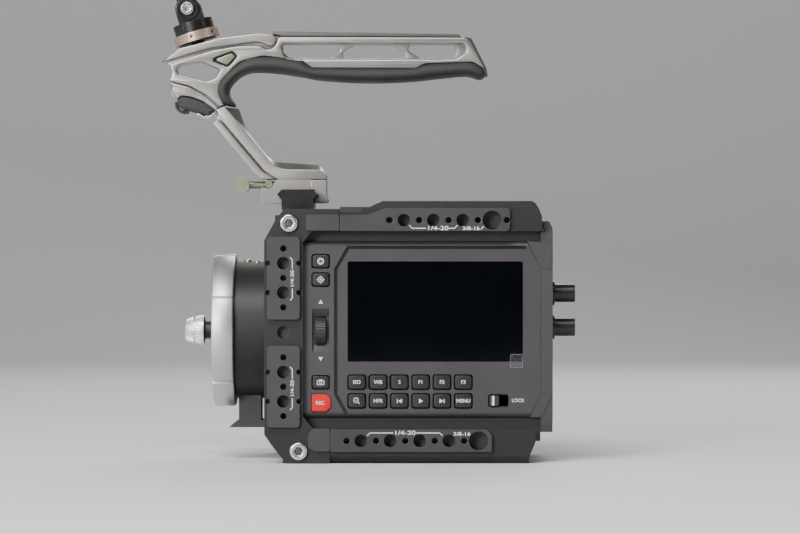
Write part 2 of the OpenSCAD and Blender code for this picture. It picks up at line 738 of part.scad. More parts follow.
// Screws of the rail, and the screws that hold the cage to the chassis.
module cage_screws() {
    color("#8f9093") {
        for (y = [-18, 18]) difference() {
            union() {
                rod_z(rail_top - 3.8, rail_top - 0.6, 3.6, rail_x, y);
                rod_z(128, rail_top - 3.7, 2, rail_x, y);
            }
            translate([rail_x, y, rail_top - 2.6]) cylinder(r = 1.5, h = 4, $fn = 6);
        }
        difference() {
            union() {
                rod_z(0.3, 3.3, 6, cage_screw_x);
                rod_z(3.2, inner_floor, 3.15, cage_screw_x);
            }
            block([cage_screw_x - 0.8, -7, -1], [cage_screw_x + 0.8, 7, 1.6]);
        }
        for (y = support_screw_y) {
            rod_x(front_x - support_flange - 1.6, front_x - support_flange, 2.8, y, support_screw_z);
            rod_x(front_x - support_flange - 0.1, front_x - 0.05, 1.7, y, support_screw_z);
        }
    }
}

// The step that carries the adapter tube, with the flange that bolts it to the chassis.
module lens_support() {
    color("#1e1e20") difference() {
        union() {
            along_y(-12, 12) polygon([
                [-89.5, 16.6], [front_x, 16.6], [front_x, 20.3], [-72.7, 20.3], [-72.7, 34], [-84.3, 34],
                [-84.3, 20.3], [-85, 20.3]]);
            block([front_x - support_flange, -12, 13], [front_x, 12, 29]);
        }
        rod_x(-95, -70, tube_r + 0.05, 0, axis_z);
        for (y = support_screw_y) rod_x(-75, front_x + 1, 1.7, y, support_screw_z);
    }
}

// Handle -------------------------------------------------------------------------------------------------

// The edge between the aluminium frame and the rubber grip, from the back of the grip to the neck.
function grip_seam() = [
    [44.8, 204], [38, 207.7, 3], [13.1, 206.9, 3], [8.7, 204.3, 3], [-46.5, 204.5, 3], [-51.5, 208.4, 4],
    [-72, 211, 12], [-84, 208, 10], [-96.4, 195.2, 8], [-92.1, 185.2]];

function frame_top() = [
    [-94.8, 184.6], [-101.6, 190.6], [-110.3, 195.3, 14], [-120.9, 197.9], [-119.6, 202, 2], [-123.3, 208.2, 1],
    [-116.6, 214.9, 8], [-94.6, 220.9, 30], [-75, 223.3, 20], [-67.1, 222.4, 8], [-62, 221.2, 6], [36, 220.9, 5]];

function long_window() = [
    [-62.8, 217, 1.6], [-60, 210.6, 4], [-50, 209, 4], [29, 209, 4], [35.4, 213, 3], [34, 217, 2]];

// The three slots of the thin web that spans the long window.
function web_slots() = [
    [[-56, 215.4, 1], [-54.5, 211.4, 1.5], [-49, 210.2, 2], [-40, 210.2, 3], [-33.6, 213.4, 2],
     [-31, 215.4, 0.6]],
    [[-22, 215.4, 2], [-28.3, 213.6, 2], [-26.3, 210.2, 1.5], [-2, 210.2, 2], [1, 213.5, 1.5],
     [-3.8, 215.4, 1]],
    [[6, 215.4, 0.6], [5.2, 213.4, 0.8], [12.4, 210.2, 3], [26, 210.2, 2], [29.6, 213, 1.5],
     [27, 215.4, 1.2]]];

module handle_frame() {
    w = frame_half_w;
    web = 2.2;
    color("#c4c1bb") difference() {
        along_y(-w, w) outline(concat(grip_seam(), frame_top()), 4);
        along_y(-w - 1, -web) outline(long_window(), 4);
        along_y(web, w + 1) outline(long_window(), 4);
        for (slot = web_slots()) along_y(-w, w) outline(slot, 4);
        // Openings of the head
        along_y(-w - 1, w + 1) outline(head_window(), 4);
        along_y(-w - 1, w + 1) outline(badge_outline(0.4), 4);
        // Flat seat and socket of the accessory mount
        lean_frame() rod_z(0, 12, 13);
        lean_frame() rod_z(-9, 1, post_r - 1.4);
    }
}

function head_window() = [
    [-118, 204.7, 1], [-116.3, 201.8, 1], [-101.4, 197.8, 2], [-97, 199.4, 2], [-94.1, 203.7, 1],
    [-103.2, 208, 1], [-116, 207, 1]];

// Places its children in the accessory mount's own leaning frame.
module lean_frame() {
    translate(mount_at) rotate([0, -lean, 0]) children();
}

module handle_grip() {
    w = grip_half_w;
    seam = grip_seam();
    color("#2a2a2b") along_y(-w, w) outline(concat(
        [for (p = seam) len(p) > 2 ? [p[0] + 0.05, p[1] - 0.05, p[2]] : [p[0] + 0.05, p[1] - 0.05]],
        [[-84.9, 183.9], [-90.4, 191.5, 6], [-86.5, 199, 8], [-77.6, 203.1, 8], [-58, 201.6, 30],
         [-34, 197.2, 40], [-8, 196.7, 60], [28, 200, 40], [36, 201.2, 6], [41.2, 198.6, 3], [45, 199.7, 1]]), 4);
}

module top_pad() {
    color("#2c2c2d") along_y(-7.6, 7.6) outline([
        [-66.9, 222.6], [-61.9, 221.35], [31.2, 221], [31.8, 221.3, 0.2], [30.8, 222.6, 0.8], [-66.4, 224.2, 0.6]]);
}

function badge_outline(grow) = [
    [-99.4 - grow, 209 + grow / 2, 1], [-87.6, 213.4 + grow, 1], [-85.7 + grow, 211, 1],
    [-90.5 + grow / 2, 205.6 - grow, 1]];

module badge_insert() {
    color("#8c9079") along_y(-7.4, 7.4) outline(badge_outline(0.4), 4);
}

// The jointed block under the head, which the arm is bolted to.
module arm_knuckle() {
    w = frame_half_w;
    color("#bdbab4") difference() {
        along_y(-w + 0.6, w - 0.6) outline([
            [-120.9, 197.8], [-110.3, 195.2, 14], [-101.6, 190.5], [-94.8, 184.5], [-95.8, 181.6],
            [-97.2, 182.6], [-103.4, 187, 5], [-109, 189.2, 4], [-114.4, 190, 2], [-116.9, 188, 1],
            [-119.9, 192.7, 4]]);
        rod_y(-w - 1, -w + 2.6, 2.6, -116.9, 193.2);
        rod_y(w - 2.6, w + 1, 2.6, -116.9, 193.2);
    }
}

module finger_rest() {
    color("#1f1f20") along_y(-8.6, 8.6) outline([
        [-116.8, 187.8], [-114.4, 189.8, 2], [-109, 189, 4], [-103.4, 186.8, 5], [-97.2, 182.4], [-100.6, 178.2, 2],
        [-105, 180.1, 2], [-110.5, 181.6, 3], [-113, 181, 1], [-116.2, 183.6, 2]]);
}

module handle_arm() {
    w = frame_half_w;
    color("#c4c1bb") {
        difference() {
            along_y(-w, w) outline([
                [-95.7, 181.5], [-94.8, 184.5], [-92.1, 185.1], [-84.9, 183.8], [-82, 175.4, 8],
                [-74.7, 164.4, 20], [-67.3, 156.4, 6], [-61, 155.2, 6], [-42.5, 154.2, 2], [-38.3, 150.6, 1],
                [-38.3, clamp_top], [-72.9, clamp_top], [-76.8, 149.5, 3], [-97.6, 175.4, 1]]);
            // The groove that makes two bars of the arm's sides
            for (side = [-1, 1]) translate([0, side * w, 0]) along_y(-0.7, 0.7)
                outline([[-94.9, 178.8], [-72.6, 150.9, 4], [-66.6, 147.2, 2], [-62, 147.2], [-62, 146.5],
                         [-67, 146.5, 2], [-73.4, 150.4, 4], [-95.7, 178.1]]);
        }
    }
}

// The fixed half of the rail clamp.
module clamp_body() {
    w = rail_widest + clamp_gap;
    mid_z = rail_top - rail_bevel;
    color("#c4c1bb") difference() {
        along_y(-clamp_half_w, clamp_half_w) polygon([
            [clamp_front, 133.9], [clamp_front, 141.8], [-68.4, 141.8], [-64, clamp_top], [jaw_split, clamp_top],
            [jaw_split, 133.9]]);
        translate([rail_x, 0, 0]) along_y(-30, 30) polygon([
            [30, clamp_ceiling], [-w + rail_bevel, clamp_ceiling], [-w, mid_z], [-rail_neck - 0.4, mid_z - 2.6],
            [-rail_neck - 0.4, 130], [30, 130]]);
        rod_x(-75, -40, screw_r + 0.08, 0, screw_z);
        // Room for the barrel nut
        rod_y(-15, 15, 2.2, -68.5, screw_z);
    }
}

// The sliding half, drawn in by the T screw.
module clamp_jaw() {
    w = rail_widest + clamp_gap;
    mid_z = rail_top - rail_bevel;
    color("#b9b6b0") difference() {
        along_y(-clamp_half_w, clamp_half_w) outline([
            [jaw_split + 0.14, 134.2], [jaw_split + 0.14, clamp_top - 0.3], [clamp_back, clamp_top - 0.3],
            [clamp_back, 138, 2], [-37.2, 135, 1], [-39, 134.2]]);
        translate([rail_x, 0, 0]) along_y(-30, 30) polygon([
            [-10, clamp_ceiling], [w - rail_bevel, clamp_ceiling], [w, mid_z], [rail_neck + 0.4, mid_z - 2.6],
            [rail_neck + 0.4, 130], [-10, 130]]);
        rod_x(-50, -35, screw_r + 0.08, 0, screw_z);
    }
}

module clamp_screw() {
    color("#8c9079") {
        rod_x(-79.2, clamp_back - 1.5, screw_r, 0, screw_z);
        along_y(-7.6, 7.6) polygon([
            [-85.6, screw_z - 3.9], [-80.9, screw_z - 3.9], [-79.2, screw_z - 2.2], [-79.2, screw_z + 2.2],
            [-80.9, screw_z + 3.9], [-85.6, screw_z + 3.9]]);
    }
}

// Accessory mount ----------------------------------------------------------------------------------------

module mount_post() {
    color("#262628") lean_frame() {
        rod_z(-8, 0, post_r - 1.5);
        rod_z(0, 6.2, post_r);
        rod_z(0, 0.4, 10);
    }
}

module lock_collar() {
    color("#9a7350") lean_frame() difference() {
        rod_z(collar_z[0], collar_z[1], collar_r);
        rod_z(collar_z[0] - 1, collar_z[1] + 1, post_r + 0.05);
        for (a = [0:6:359]) rotate([0, 0, a])
            translate([collar_r - 0.35, -0.3, collar_z[0] - 1]) cube([1, 0.6, collar_z[1] + 2]);
        for (a = [20:60:359]) rotate([0, 0, a])
            translate([collar_r - 2.5, 0, 2.9]) rotate([0, 90, 0]) cylinder(r = 1, h = 4);
    }
}

module mount_yoke() {
    color("#1f1f21") lean_frame() difference() {
        union() {
            rod_z(collar_z[1] + 0.3, 11, 10.5);
            for (side = [0, 1]) mirror([0, side, 0]) {
                block([-boss_r, yoke_y[0], 10], [boss_r, yoke_y[1], pivot_h]);
                rod_y(yoke_y[0], yoke_y[1], boss_r, 0, pivot_h);
            }
        }
        rod_z(0, 7.2, post_r + 0.05);
        rod_y(-12, 12, 2.5, 0, pivot_h);
    }
}

module tilt_head() {
    color("#1f1f21") lean_frame() difference() {
        union() {
            rod_y(-yoke_y[0] + 0.3, yoke_y[0] - 0.3, boss_r - 0.3, 0, pivot_h);
            block([-4.6, -yoke_y[0] + 0.3, pivot_h], [4.6, yoke_y[0] - 0.3, platform_z[0] + 0.1]);
            translate([0, 0, platform_z[0]]) linear_extrude(platform_z[1] - platform_z[0])
                rounded_rect(0, 0, 24, 22, 3);
            rod_z(platform_z[1], platform_z[1] + 6.5, stud_r);
        }
        rod_y(-12, 12, 2.55, 0, pivot_h);
    }
}

module pivot_screw() {
    color("#d4d5d6") lean_frame() difference() {
        union() {
            rod_y(-12.2, 12.2, 2.48, 0, pivot_h);
            rod_y(-12.4, -yoke_y[1] - 0.02, 3.3, 0, pivot_h);
            rod_y(yoke_y[1] + 0.02, 12.4, 3.3, 0, pivot_h);
        }
        hex_socket_y(-13, -10.4, 0, pivot_h, 3);
    }
}

// Drawing ------------------------------------------------------------------------------------------------

for (i = [0:len(KEYS) - 1]) key(i);
button_iris();
button_focus();
button_still();
button_record();
scroll_wheel();
lock_switch();
chassis();
control_panel();
display_glass();
right_cover();
rear_cover();
bnc_sockets();
main_board();
image_sensor();
heat_sink();
fan_rotor();
media_door();
battery();
battery_bay();
battery_latch();
mount_tube();
locking_ring();
mount_cap();
cap_knob();
mount_pins();
left_column();
right_column();
top_plate();
bottom_plate();
cross_rail();
frame_screws();
cage_screws();
lens_support();
handle_frame();
handle_grip();
top_pad();
badge_insert();
finger_rest();
arm_knuckle();
handle_arm();
clamp_body();
clamp_jaw();
clamp_screw();
mount_post();
lock_collar();
mount_yoke();
tilt_head();
pivot_screw();
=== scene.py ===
"""The looks of the cinema camera rig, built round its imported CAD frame.

The lens looks along -X, the display side faces -Y and +Z is up.
Sizes are in millimetres unless they say metres.
"""
import json
import math

import bpy
from mathutils import Matrix, Vector


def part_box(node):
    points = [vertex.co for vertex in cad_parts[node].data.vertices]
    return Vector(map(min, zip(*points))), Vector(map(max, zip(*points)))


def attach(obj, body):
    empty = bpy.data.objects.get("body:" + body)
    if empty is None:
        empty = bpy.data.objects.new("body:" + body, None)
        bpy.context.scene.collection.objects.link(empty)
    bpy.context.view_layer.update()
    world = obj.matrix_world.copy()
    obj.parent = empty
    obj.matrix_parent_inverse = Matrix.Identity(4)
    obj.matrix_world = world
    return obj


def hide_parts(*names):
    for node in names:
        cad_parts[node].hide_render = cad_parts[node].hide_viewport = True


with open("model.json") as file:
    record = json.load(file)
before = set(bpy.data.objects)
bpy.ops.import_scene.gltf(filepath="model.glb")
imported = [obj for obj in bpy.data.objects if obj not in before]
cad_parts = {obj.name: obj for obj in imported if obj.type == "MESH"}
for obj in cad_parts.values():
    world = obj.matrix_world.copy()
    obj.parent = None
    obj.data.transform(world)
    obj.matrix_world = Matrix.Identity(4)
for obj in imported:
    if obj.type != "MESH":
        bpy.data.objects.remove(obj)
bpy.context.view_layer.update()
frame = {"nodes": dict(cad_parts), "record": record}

MM = 0.001
NODES = frame["nodes"]
BODIES = frame["record"]["behaviour"]["bodies"]
BODY_OF = {node: body for body, members in BODIES.items() for node in members}

WELD_M = 0.000002       # points closer than this are merged
SHARP_DEG = 34          # edges that turn more than this stay sharp
CAPITAL_SHARE = 0.72    # height of a capital as a share of the font's size


# Small tools --------------------------------------------------------------------------------------------

def low(node):
    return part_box(node)[0] / MM


def high(node):
    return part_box(node)[1] / MM


def middle(node):
    return (low(node) + high(node)) / 2


def unit(x, y):
    length = math.hypot(x, y)
    return x / length, y / length


def corner_arc(before, corner, after, radius, steps):
    """The arc that rounds a corner between its two neighbours."""
    ax, ay = unit(before[0] - corner[0], before[1] - corner[1])
    bx, by = unit(after[0] - corner[0], after[1] - corner[1])
    half = math.acos(max(-1, min(1, ax * bx + ay * by))) / 2
    mx, my = unit(ax + bx, ay + by)
    reach = radius / math.sin(half)
    centre = corner[0] + mx * reach, corner[1] + my * reach
    along = radius / math.tan(half)
    start = math.atan2(corner[1] + ay * along - centre[1], corner[0] + ax * along - centre[0])
    end = math.atan2(corner[1] + by * along - centre[1], corner[0] + bx * along - centre[0])
    turn = (end - start + math.pi) % (2 * math.pi) - math.pi
    return [(centre[0] + radius * math.cos(start + turn * k / steps),
             centre[1] + radius * math.sin(start + turn * k / steps)) for k in range(steps + 1)]


def rounded(points, steps=7):
    """An outline from points that are (x, y) or (x, y, corner radius)."""
    outline = []
    for i, point in enumerate(points):
        if len(point) > 2 and point[2] > 0:
            outline += corner_arc(points[i - 1], point, points[(i + 1) % len(points)], point[2], steps)
        else:
            outline.append((point[0], point[1]))
    return outline


def rectangle(x, z, width, height, radius):
    w = width / 2
    h = height / 2
    corners = [(-w, -h), (w, -h), (w, h), (-w, h)]
    return rounded([(x + across, z + up, radius) for across, up in corners])


def circle(x, z, radius, steps=40):
    return [(x + radius * math.cos(a), z + radius * math.sin(a))
            for a in (2 * math.pi * k / steps for k in range(steps))]


# Outlines are drawn in a plane and pushed through along the third axis
PLANES = {
    "y": Matrix(((1, 0, 0, 0), (0, 0, -1, 0), (0, 1, 0, 0), (0, 0, 0, 1))),
    "x": Matrix(((0, 0, 1, 0), (1, 0, 0, 0), (0, 1, 0, 0), (0, 0, 0, 1))),
    "z": Matrix.Identity(4),
}


def show(name, data):
    obj = bpy.data.objects.new(name, data)
    bpy.context.scene.collection.objects.link(obj)
    return obj


def paint(mesh, material):
    """Gives a mesh one material, named by its key in MATERIALS."""
    mesh.materials.clear()
    mesh.materials.append(MATERIALS[material])


def weld(obj):
    obj.modifiers.new("weld", "WELD").merge_threshold = WELD_M


def mesh_piece(name, verts, faces, material):
    mesh = bpy.data.meshes.new(name)
    mesh.from_pydata([(x * MM, y * MM, z * MM) for x, y, z in verts], [], faces)
    mesh.validate()
    mesh.update()
    paint(mesh, material)
    return show(name, mesh)


def curve_to_mesh(name, curve, matrix, material):
    """The mesh of a filled curve, moved into place."""
    holder = show(name, curve)
    bpy.context.view_layer.update()
    mesh = bpy.data.meshes.new_from_object(holder.evaluated_get(bpy.context.evaluated_depsgraph_get()))
    bpy.data.objects.remove(holder)
    mesh.transform(matrix)
    mesh.name = name
    paint(mesh, material)
    obj = show(name, mesh)
    weld(obj)
    return obj


def plate(name, loops, start, end, bevel, material, axis="y", steps=3):
    """A plate with rounded edges. The first loop is its outline and the others are its holes."""
    curve = bpy.data.curves.new(name, "CURVE")
    curve.dimensions = "2D"
    curve.fill_mode = "BOTH"
    curve.extrude = ((end - start) / 2 - bevel) * MM
    curve.bevel_depth = bevel * MM
    curve.bevel_resolution = steps
    curve.offset = -bevel * MM
    for loop in loops:
        spline = curve.splines.new("POLY")
        spline.points.add(len(loop) - 1)
        spline.use_cyclic_u = True
        for point, (u, v) in zip(spline.points, loop):
            point.co = (u * MM, v * MM, 0, 1)
    shift = {"y": (0, 1, 0), "x": (1, 0, 0), "z": (0, 0, 1)}[axis]
    move = Matrix.Translation(Vector(shift) * (start + end) / 2 * MM)
    return smooth(curve_to_mesh(name, curve, move @ PLANES[axis], material))


def lettering(name, text, x, z, size, y, material, turn=0, stretch=1):
    """Flat generic lettering on a face that looks along -Y; size is the height of a capital."""
    curve = bpy.data.curves.new(name, "FONT")
    curve.body = text
    curve.size = size / CAPITAL_SHARE * MM
    curve.align_x = "CENTER"
    curve.align_y = "CENTER"
    curve.extrude = 0.02 * MM
    curve.offset = 0.012 * size * MM
    place = Matrix.Translation((x * MM, y * MM, z * MM)) @ PLANES["y"] @ Matrix.Rotation(turn, 4, "Z")
    return curve_to_mesh(name, curve, place @ Matrix.Diagonal((stretch, 1, 1, 1)), material)


def spun(name, profile, place, material, segments=96, ripple=None):
    """A turned piece: (height, radius) points swept round the Z axis of place.

    ripple(segment, height) adds to the radius.
    """
    verts = []
    faces = []
    for k in range(segments):
        angle = 2 * math.pi * k / segments
        for height, radius in profile:
            r = radius + (ripple(k, height) if ripple and radius else 0)
            verts.append((r * math.cos(angle), r * math.sin(angle), height))
    count = len(profile)
    for k in range(segments):
        for i in range(count - 1):
            a = k * count + i
            b = (k + 1) % segments * count + i
            faces.append((a, b, b + 1, a + 1))
    piece = mesh_piece(name, verts, faces, material)
    piece.data.transform(place)
    weld(piece)
    return smooth(piece)


def upright(x, y, z):
    """A frame whose Z axis runs up from a point."""
    return Matrix.Translation((x * MM, y * MM, z * MM))


def along_x(x, y, z):
    """A frame whose Z axis runs along -X from a point."""
    return upright(x, y, z) @ Matrix.Rotation(-math.pi / 2, 4, "Y")


def along_y(x, y, z):
    """A frame whose Z axis runs along -Y from a point."""
    return upright(x, y, z) @ Matrix.Rotation(math.pi / 2, 4, "X")


def tube(name, points, radius, material, closed=False):
    """A round wire through points given in millimetres."""
    curve = bpy.data.curves.new(name, "CURVE")
    curve.dimensions = "3D"
    curve.bevel_depth = radius * MM
    curve.bevel_resolution = 3
    curve.use_fill_caps = True
    spline = curve.splines.new("POLY")
    spline.points.add(len(points) - 1)
    spline.use_cyclic_u = closed
    for point, place in zip(spline.points, points):
        point.co = (*(value * MM for value in place), 1)
    return smooth(curve_to_mesh(name, curve, Matrix.Identity(4), material))


def join(name, pieces):
    """One object from several, with each one's modifiers applied."""
    depsgraph = bpy.context.evaluated_depsgraph_get()
    for piece in pieces:
        mesh = bpy.data.meshes.new_from_object(piece.evaluated_get(depsgraph), depsgraph=depsgraph)
        piece.modifiers.clear()
        piece.data = mesh
    with bpy.context.temp_override(active_object=pieces[0], selected_editable_objects=pieces):
        bpy.ops.object.join()
    pieces[0].name = name
    pieces[0].data.name = name
    return pieces[0]


def smoothing_group():
    """A node group that shades smooth and keeps edges over a set angle sharp."""
    group = bpy.data.node_groups.new("smooth_by_angle", "GeometryNodeTree")
    group.interface.new_socket("Geometry", in_out="INPUT", socket_type="NodeSocketGeometry")
    group.interface.new_socket("Geometry", in_out="OUTPUT", socket_type="NodeSocketGeometry")
    nodes = group.nodes
    start = nodes.new("NodeGroupInput")
    clear = nodes.new("GeometryNodeRemoveAttribute")
    clear.inputs["Name"].default_value = "custom_normal"
    faces = nodes.new("GeometryNodeSetShadeSmooth")
    angle = nodes.new("GeometryNodeInputMeshEdgeAngle")
    compare = nodes.new("FunctionNodeCompare")
    compare.operation = "GREATER_THAN"
    compare.inputs[1].default_value = math.radians(SHARP_DEG)
    edges = nodes.new("GeometryNodeSetShadeSmooth")
    edges.domain = "EDGE"
    edges.inputs["Shade Smooth"].default_value = False
    end = nodes.new("NodeGroupOutput")
    group.links.new(start.outputs[0], clear.inputs["Geometry"])
    group.links.new(clear.outputs[0], faces.inputs["Geometry"])
    group.links.new(faces.outputs[0], edges.inputs["Geometry"])
    group.links.new(angle.outputs["Unsigned Angle"], compare.inputs[0])
    group.links.new(compare.outputs[0], edges.inputs["Selection"])
    group.links.new(edges.outputs[0], end.inputs[0])
    return group


SMOOTHING = smoothing_group()


def smooth(obj):
    obj.modifiers.new("shading", "NODES").node_group = SMOOTHING
    return obj


def soften(obj, width, segments=2, angle=30, whole=True):
    """Rounds an object's edges and shades it; whole first joins flat faces that were split up."""
    weld(obj)
    if whole:
        flat = obj.modifiers.new("flat", "DECIMATE")
        flat.decimate_type = "DISSOLVE"
        flat.angle_limit = math.radians(0.6)
    bevel = obj.modifiers.new("bevel", "BEVEL")
    bevel.width = width * MM
    bevel.segments = segments
    bevel.limit_method = "ANGLE"
    bevel.angle_limit = math.radians(angle)
    bevel.miter_outer = "MITER_ARC"
    bevel.use_clamp_overlap = True
    smooth(obj)
    even = obj.modifiers.new("even", "WEIGHTED_NORMAL")
    even.weight = 100
    even.keep_sharp = True
    return obj


def place(obj, body, *replaced, slot=None):
    """Hands a piece to its body, and hides the CAD nodes that it stands in for."""
    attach(obj, body)
    if replaced:
        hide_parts(*replaced)


# Materials ----------------------------------------------------------------------------------------------

class Surface:
    """A procedural material that is put together step by step."""

    def __init__(self, name, colour, roughness, metallic=0.0):
        self.material = bpy.data.materials.new(name)
        self.material.use_nodes = True
        self.tree = self.material.node_tree
        self.shader = self.tree.nodes["Principled BSDF"]
        self.shader.inputs["Base Color"].default_value = (*colour, 1)
        self.shader.inputs["Roughness"].default_value = roughness
        self.shader.inputs["Metallic"].default_value = metallic
        self.colour = colour
        self.roughness = roughness
        self.where = self.tree.nodes.new("ShaderNodeTexCoord").outputs["Object"]
        self.last_bump = None

    def node(self, kind, **inputs):
        node = self.tree.nodes.new(kind)
        for key, value in inputs.items():
            node.inputs[key.replace("_", " ")].default_value = value
        return node

    def link(self, start, end):
        self.tree.links.new(start, end)

    def feed(self, socket, value):
        """Links an output to a socket, or sets a plain value on it."""
        if isinstance(value, bpy.types.NodeSocket):
            self.link(value, socket)
        else:
            socket.default_value = value

    def sums(self, kind, operation, first, second=None):
        """A Math or Vector Math node with its operation and its one or two values."""
        node = self.node(kind)
        node.operation = operation
        self.feed(node.inputs[0], first)
        if second is not None:
            self.feed(node.inputs[1], second)
        return node.outputs["Value" if operation in ("LENGTH", "DOT_PRODUCT") else 0]

    def mixed(self, share, first, second):
        """A colour between two, which are colours or outputs."""
        mix = self.node("ShaderNodeMix")
        mix.data_type = "RGBA"
        self.link(share, mix.inputs[0])
        self.feed(mix.inputs[6], first)
        self.feed(mix.inputs[7], second)
        self.link(mix.outputs[2], self.shader.inputs["Base Color"])

    def base(self):
        """What the base colour is so far: an output or a colour."""
        socket = self.shader.inputs["Base Color"]
        return socket.links[0].from_socket if socket.is_linked else (*self.colour, 1)

    def noise(self, size_mm, detail=3.0, stretch=None):
        """Noise whose features are size_mm wide; stretch scales the coordinates first."""
        noise = self.node("ShaderNodeTexNoise", Scale=1 / (size_mm * MM), Detail=detail)
        source = self.where
        if stretch:
            mapping = self.node("ShaderNodeMapping", Scale=stretch)
            self.link(source, mapping.inputs["Vector"])
            source = mapping.outputs[0]
        self.link(source, noise.inputs["Vector"])
        return noise.outputs["Fac"]

    def spread(self, source, low_value, high_value, start=0.3, end=0.7):
        """Maps start to low_value and end to high_value."""
        ramp = self.node("ShaderNodeMapRange", From_Min=start, From_Max=end, To_Min=low_value,
                         To_Max=high_value)
        self.link(source, ramp.inputs["Value"])
        return ramp.outputs["Result"]

    def relief(self, source, height_mm, invert=False):
        """A bump on top of those that are already there."""
        bump = self.node("ShaderNodeBump", Strength=1.0, Distance=height_mm * MM)
        bump.invert = invert
        self.link(source, bump.inputs["Height"])
        if self.last_bump:
            self.link(self.last_bump.outputs[0], bump.inputs["Normal"])
        self.last_bump = bump
        self.link(bump.outputs[0], self.shader.inputs["Normal"])
        return self

    def shaded(self, factor, tint=(1, 1, 1)):
        """The base colour, darker or lighter, with a tint."""
        return (*[min(1, channel * factor * shade) for channel, shade in zip(self.colour, tint)], 1)

    def mottle(self, size_mm, amount, tint=(1, 1, 1)):
        """Slow changes of colour across the surface."""
        share = self.spread(self.noise(size_mm, 5), 0, 1)
        self.mixed(share, self.shaded(1 - amount), self.shaded(1 + amount, tint))
        return self

    def polish(self, size_mm, amount):
        """Slow changes of roughness, as fingers and wear leave them."""
        low_value = max(0.02, self.roughness - amount)
        self.link(self.spread(self.noise(size_mm, 4), low_value, self.roughness + amount),
                  self.shader.inputs["Roughness"])
        return self

    def grain(self, size_mm, height_mm, detail=2.0, stretch=None):
        """Fine relief."""
        return self.relief(self.noise(size_mm, detail, stretch), height_mm)

    def pebbles(self, size_mm, height_mm):
        """Rounded cells, as on moulded rubber."""
        cells = self.node("ShaderNodeTexVoronoi", Scale=1 / (size_mm * MM))
        cells.feature = "SMOOTH_F1"
        self.link(self.where, cells.inputs["Vector"])
        return self.relief(cells.outputs["Distance"], height_mm, True)

    def lathe(self, centre_mm, pitch_mm, height_mm, colour_amount=0.0):
        """Turning marks round an axis along X through centre_mm."""
        centre = [value * MM for value in centre_mm]
        split = self.node("ShaderNodeSeparateXYZ")
        self.link(self.sums("ShaderNodeVectorMath", "SUBTRACT", self.where, centre), split.inputs[0])
        across = self.node("ShaderNodeCombineXYZ")
        self.link(split.outputs[1], across.inputs[0])
        self.link(split.outputs[2], across.inputs[1])
        rings = self.node("ShaderNodeCombineXYZ")
        self.link(split.outputs[0], rings.inputs[0])
        self.link(self.sums("ShaderNodeVectorMath", "LENGTH", across.outputs[0]), rings.inputs[1])
        noise = self.node("ShaderNodeTexNoise", Scale=1 / (pitch_mm * MM), Detail=2.0)
        self.link(rings.outputs[0], noise.inputs["Vector"])
        marks = noise.outputs["Fac"]
        self.relief(marks, height_mm)
        rough = self.spread(marks, max(0.05, self.roughness - 0.08), self.roughness + 0.1)
        self.link(rough, self.shader.inputs["Roughness"])
        if colour_amount:
            share = self.spread(marks, 0, 1)
            self.mixed(share, self.shaded(1 - colour_amount), self.shaded(1 + colour_amount))
        return self

    def painted_recess_shade(self, level_mm, half_mm, colour):
        """Painted shade: a darker colour on the faces that lie within half_mm of level_mm from the middle
        plane, standing in for the shadow in recesses.
        """
        split = self.node("ShaderNodeSeparateXYZ")
        self.link(self.where, split.inputs[0])
        away = split.outputs[1]
        for offset in (0.0, level_mm * MM):
            away = self.sums("ShaderNodeMath", "SUBTRACT", away, offset)
            away = self.sums("ShaderNodeMath", "ABSOLUTE", away)
        mask = self.spread(away, 0, 1, half_mm * MM - 0.0001, half_mm * MM)
        self.mixed(mask, (*colour, 1), self.base())
        return self

    def worn(self, colour, amount=0.6, width_mm=0.35):
        """Lets a brighter colour through along sharp edges."""
        edge = self.node("ShaderNodeBevel", Radius=width_mm * MM)
        edge.samples = 4
        flat = self.node("ShaderNodeNewGeometry")
        turn = self.sums("ShaderNodeVectorMath", "DOT_PRODUCT", edge.outputs[0], flat.outputs["Normal"])
        near = self.spread(turn, amount, 0, 0.8, 0.985)
        patches = self.spread(self.noise(1.6, 6), 0, 1, 0.42, 0.62)
        share = self.sums("ShaderNodeMath", "MULTIPLY", near, patches)
        self.mixed(share, self.base(), (*colour, 1))
        return self

    def see_through(self, alpha):
        self.shader.inputs["Alpha"].default_value = alpha
        return self

    def specular(self, level):
        self.shader.inputs["Specular IOR Level"].default_value = level
        return self


AXIS_Z = middle("locking_ring").z

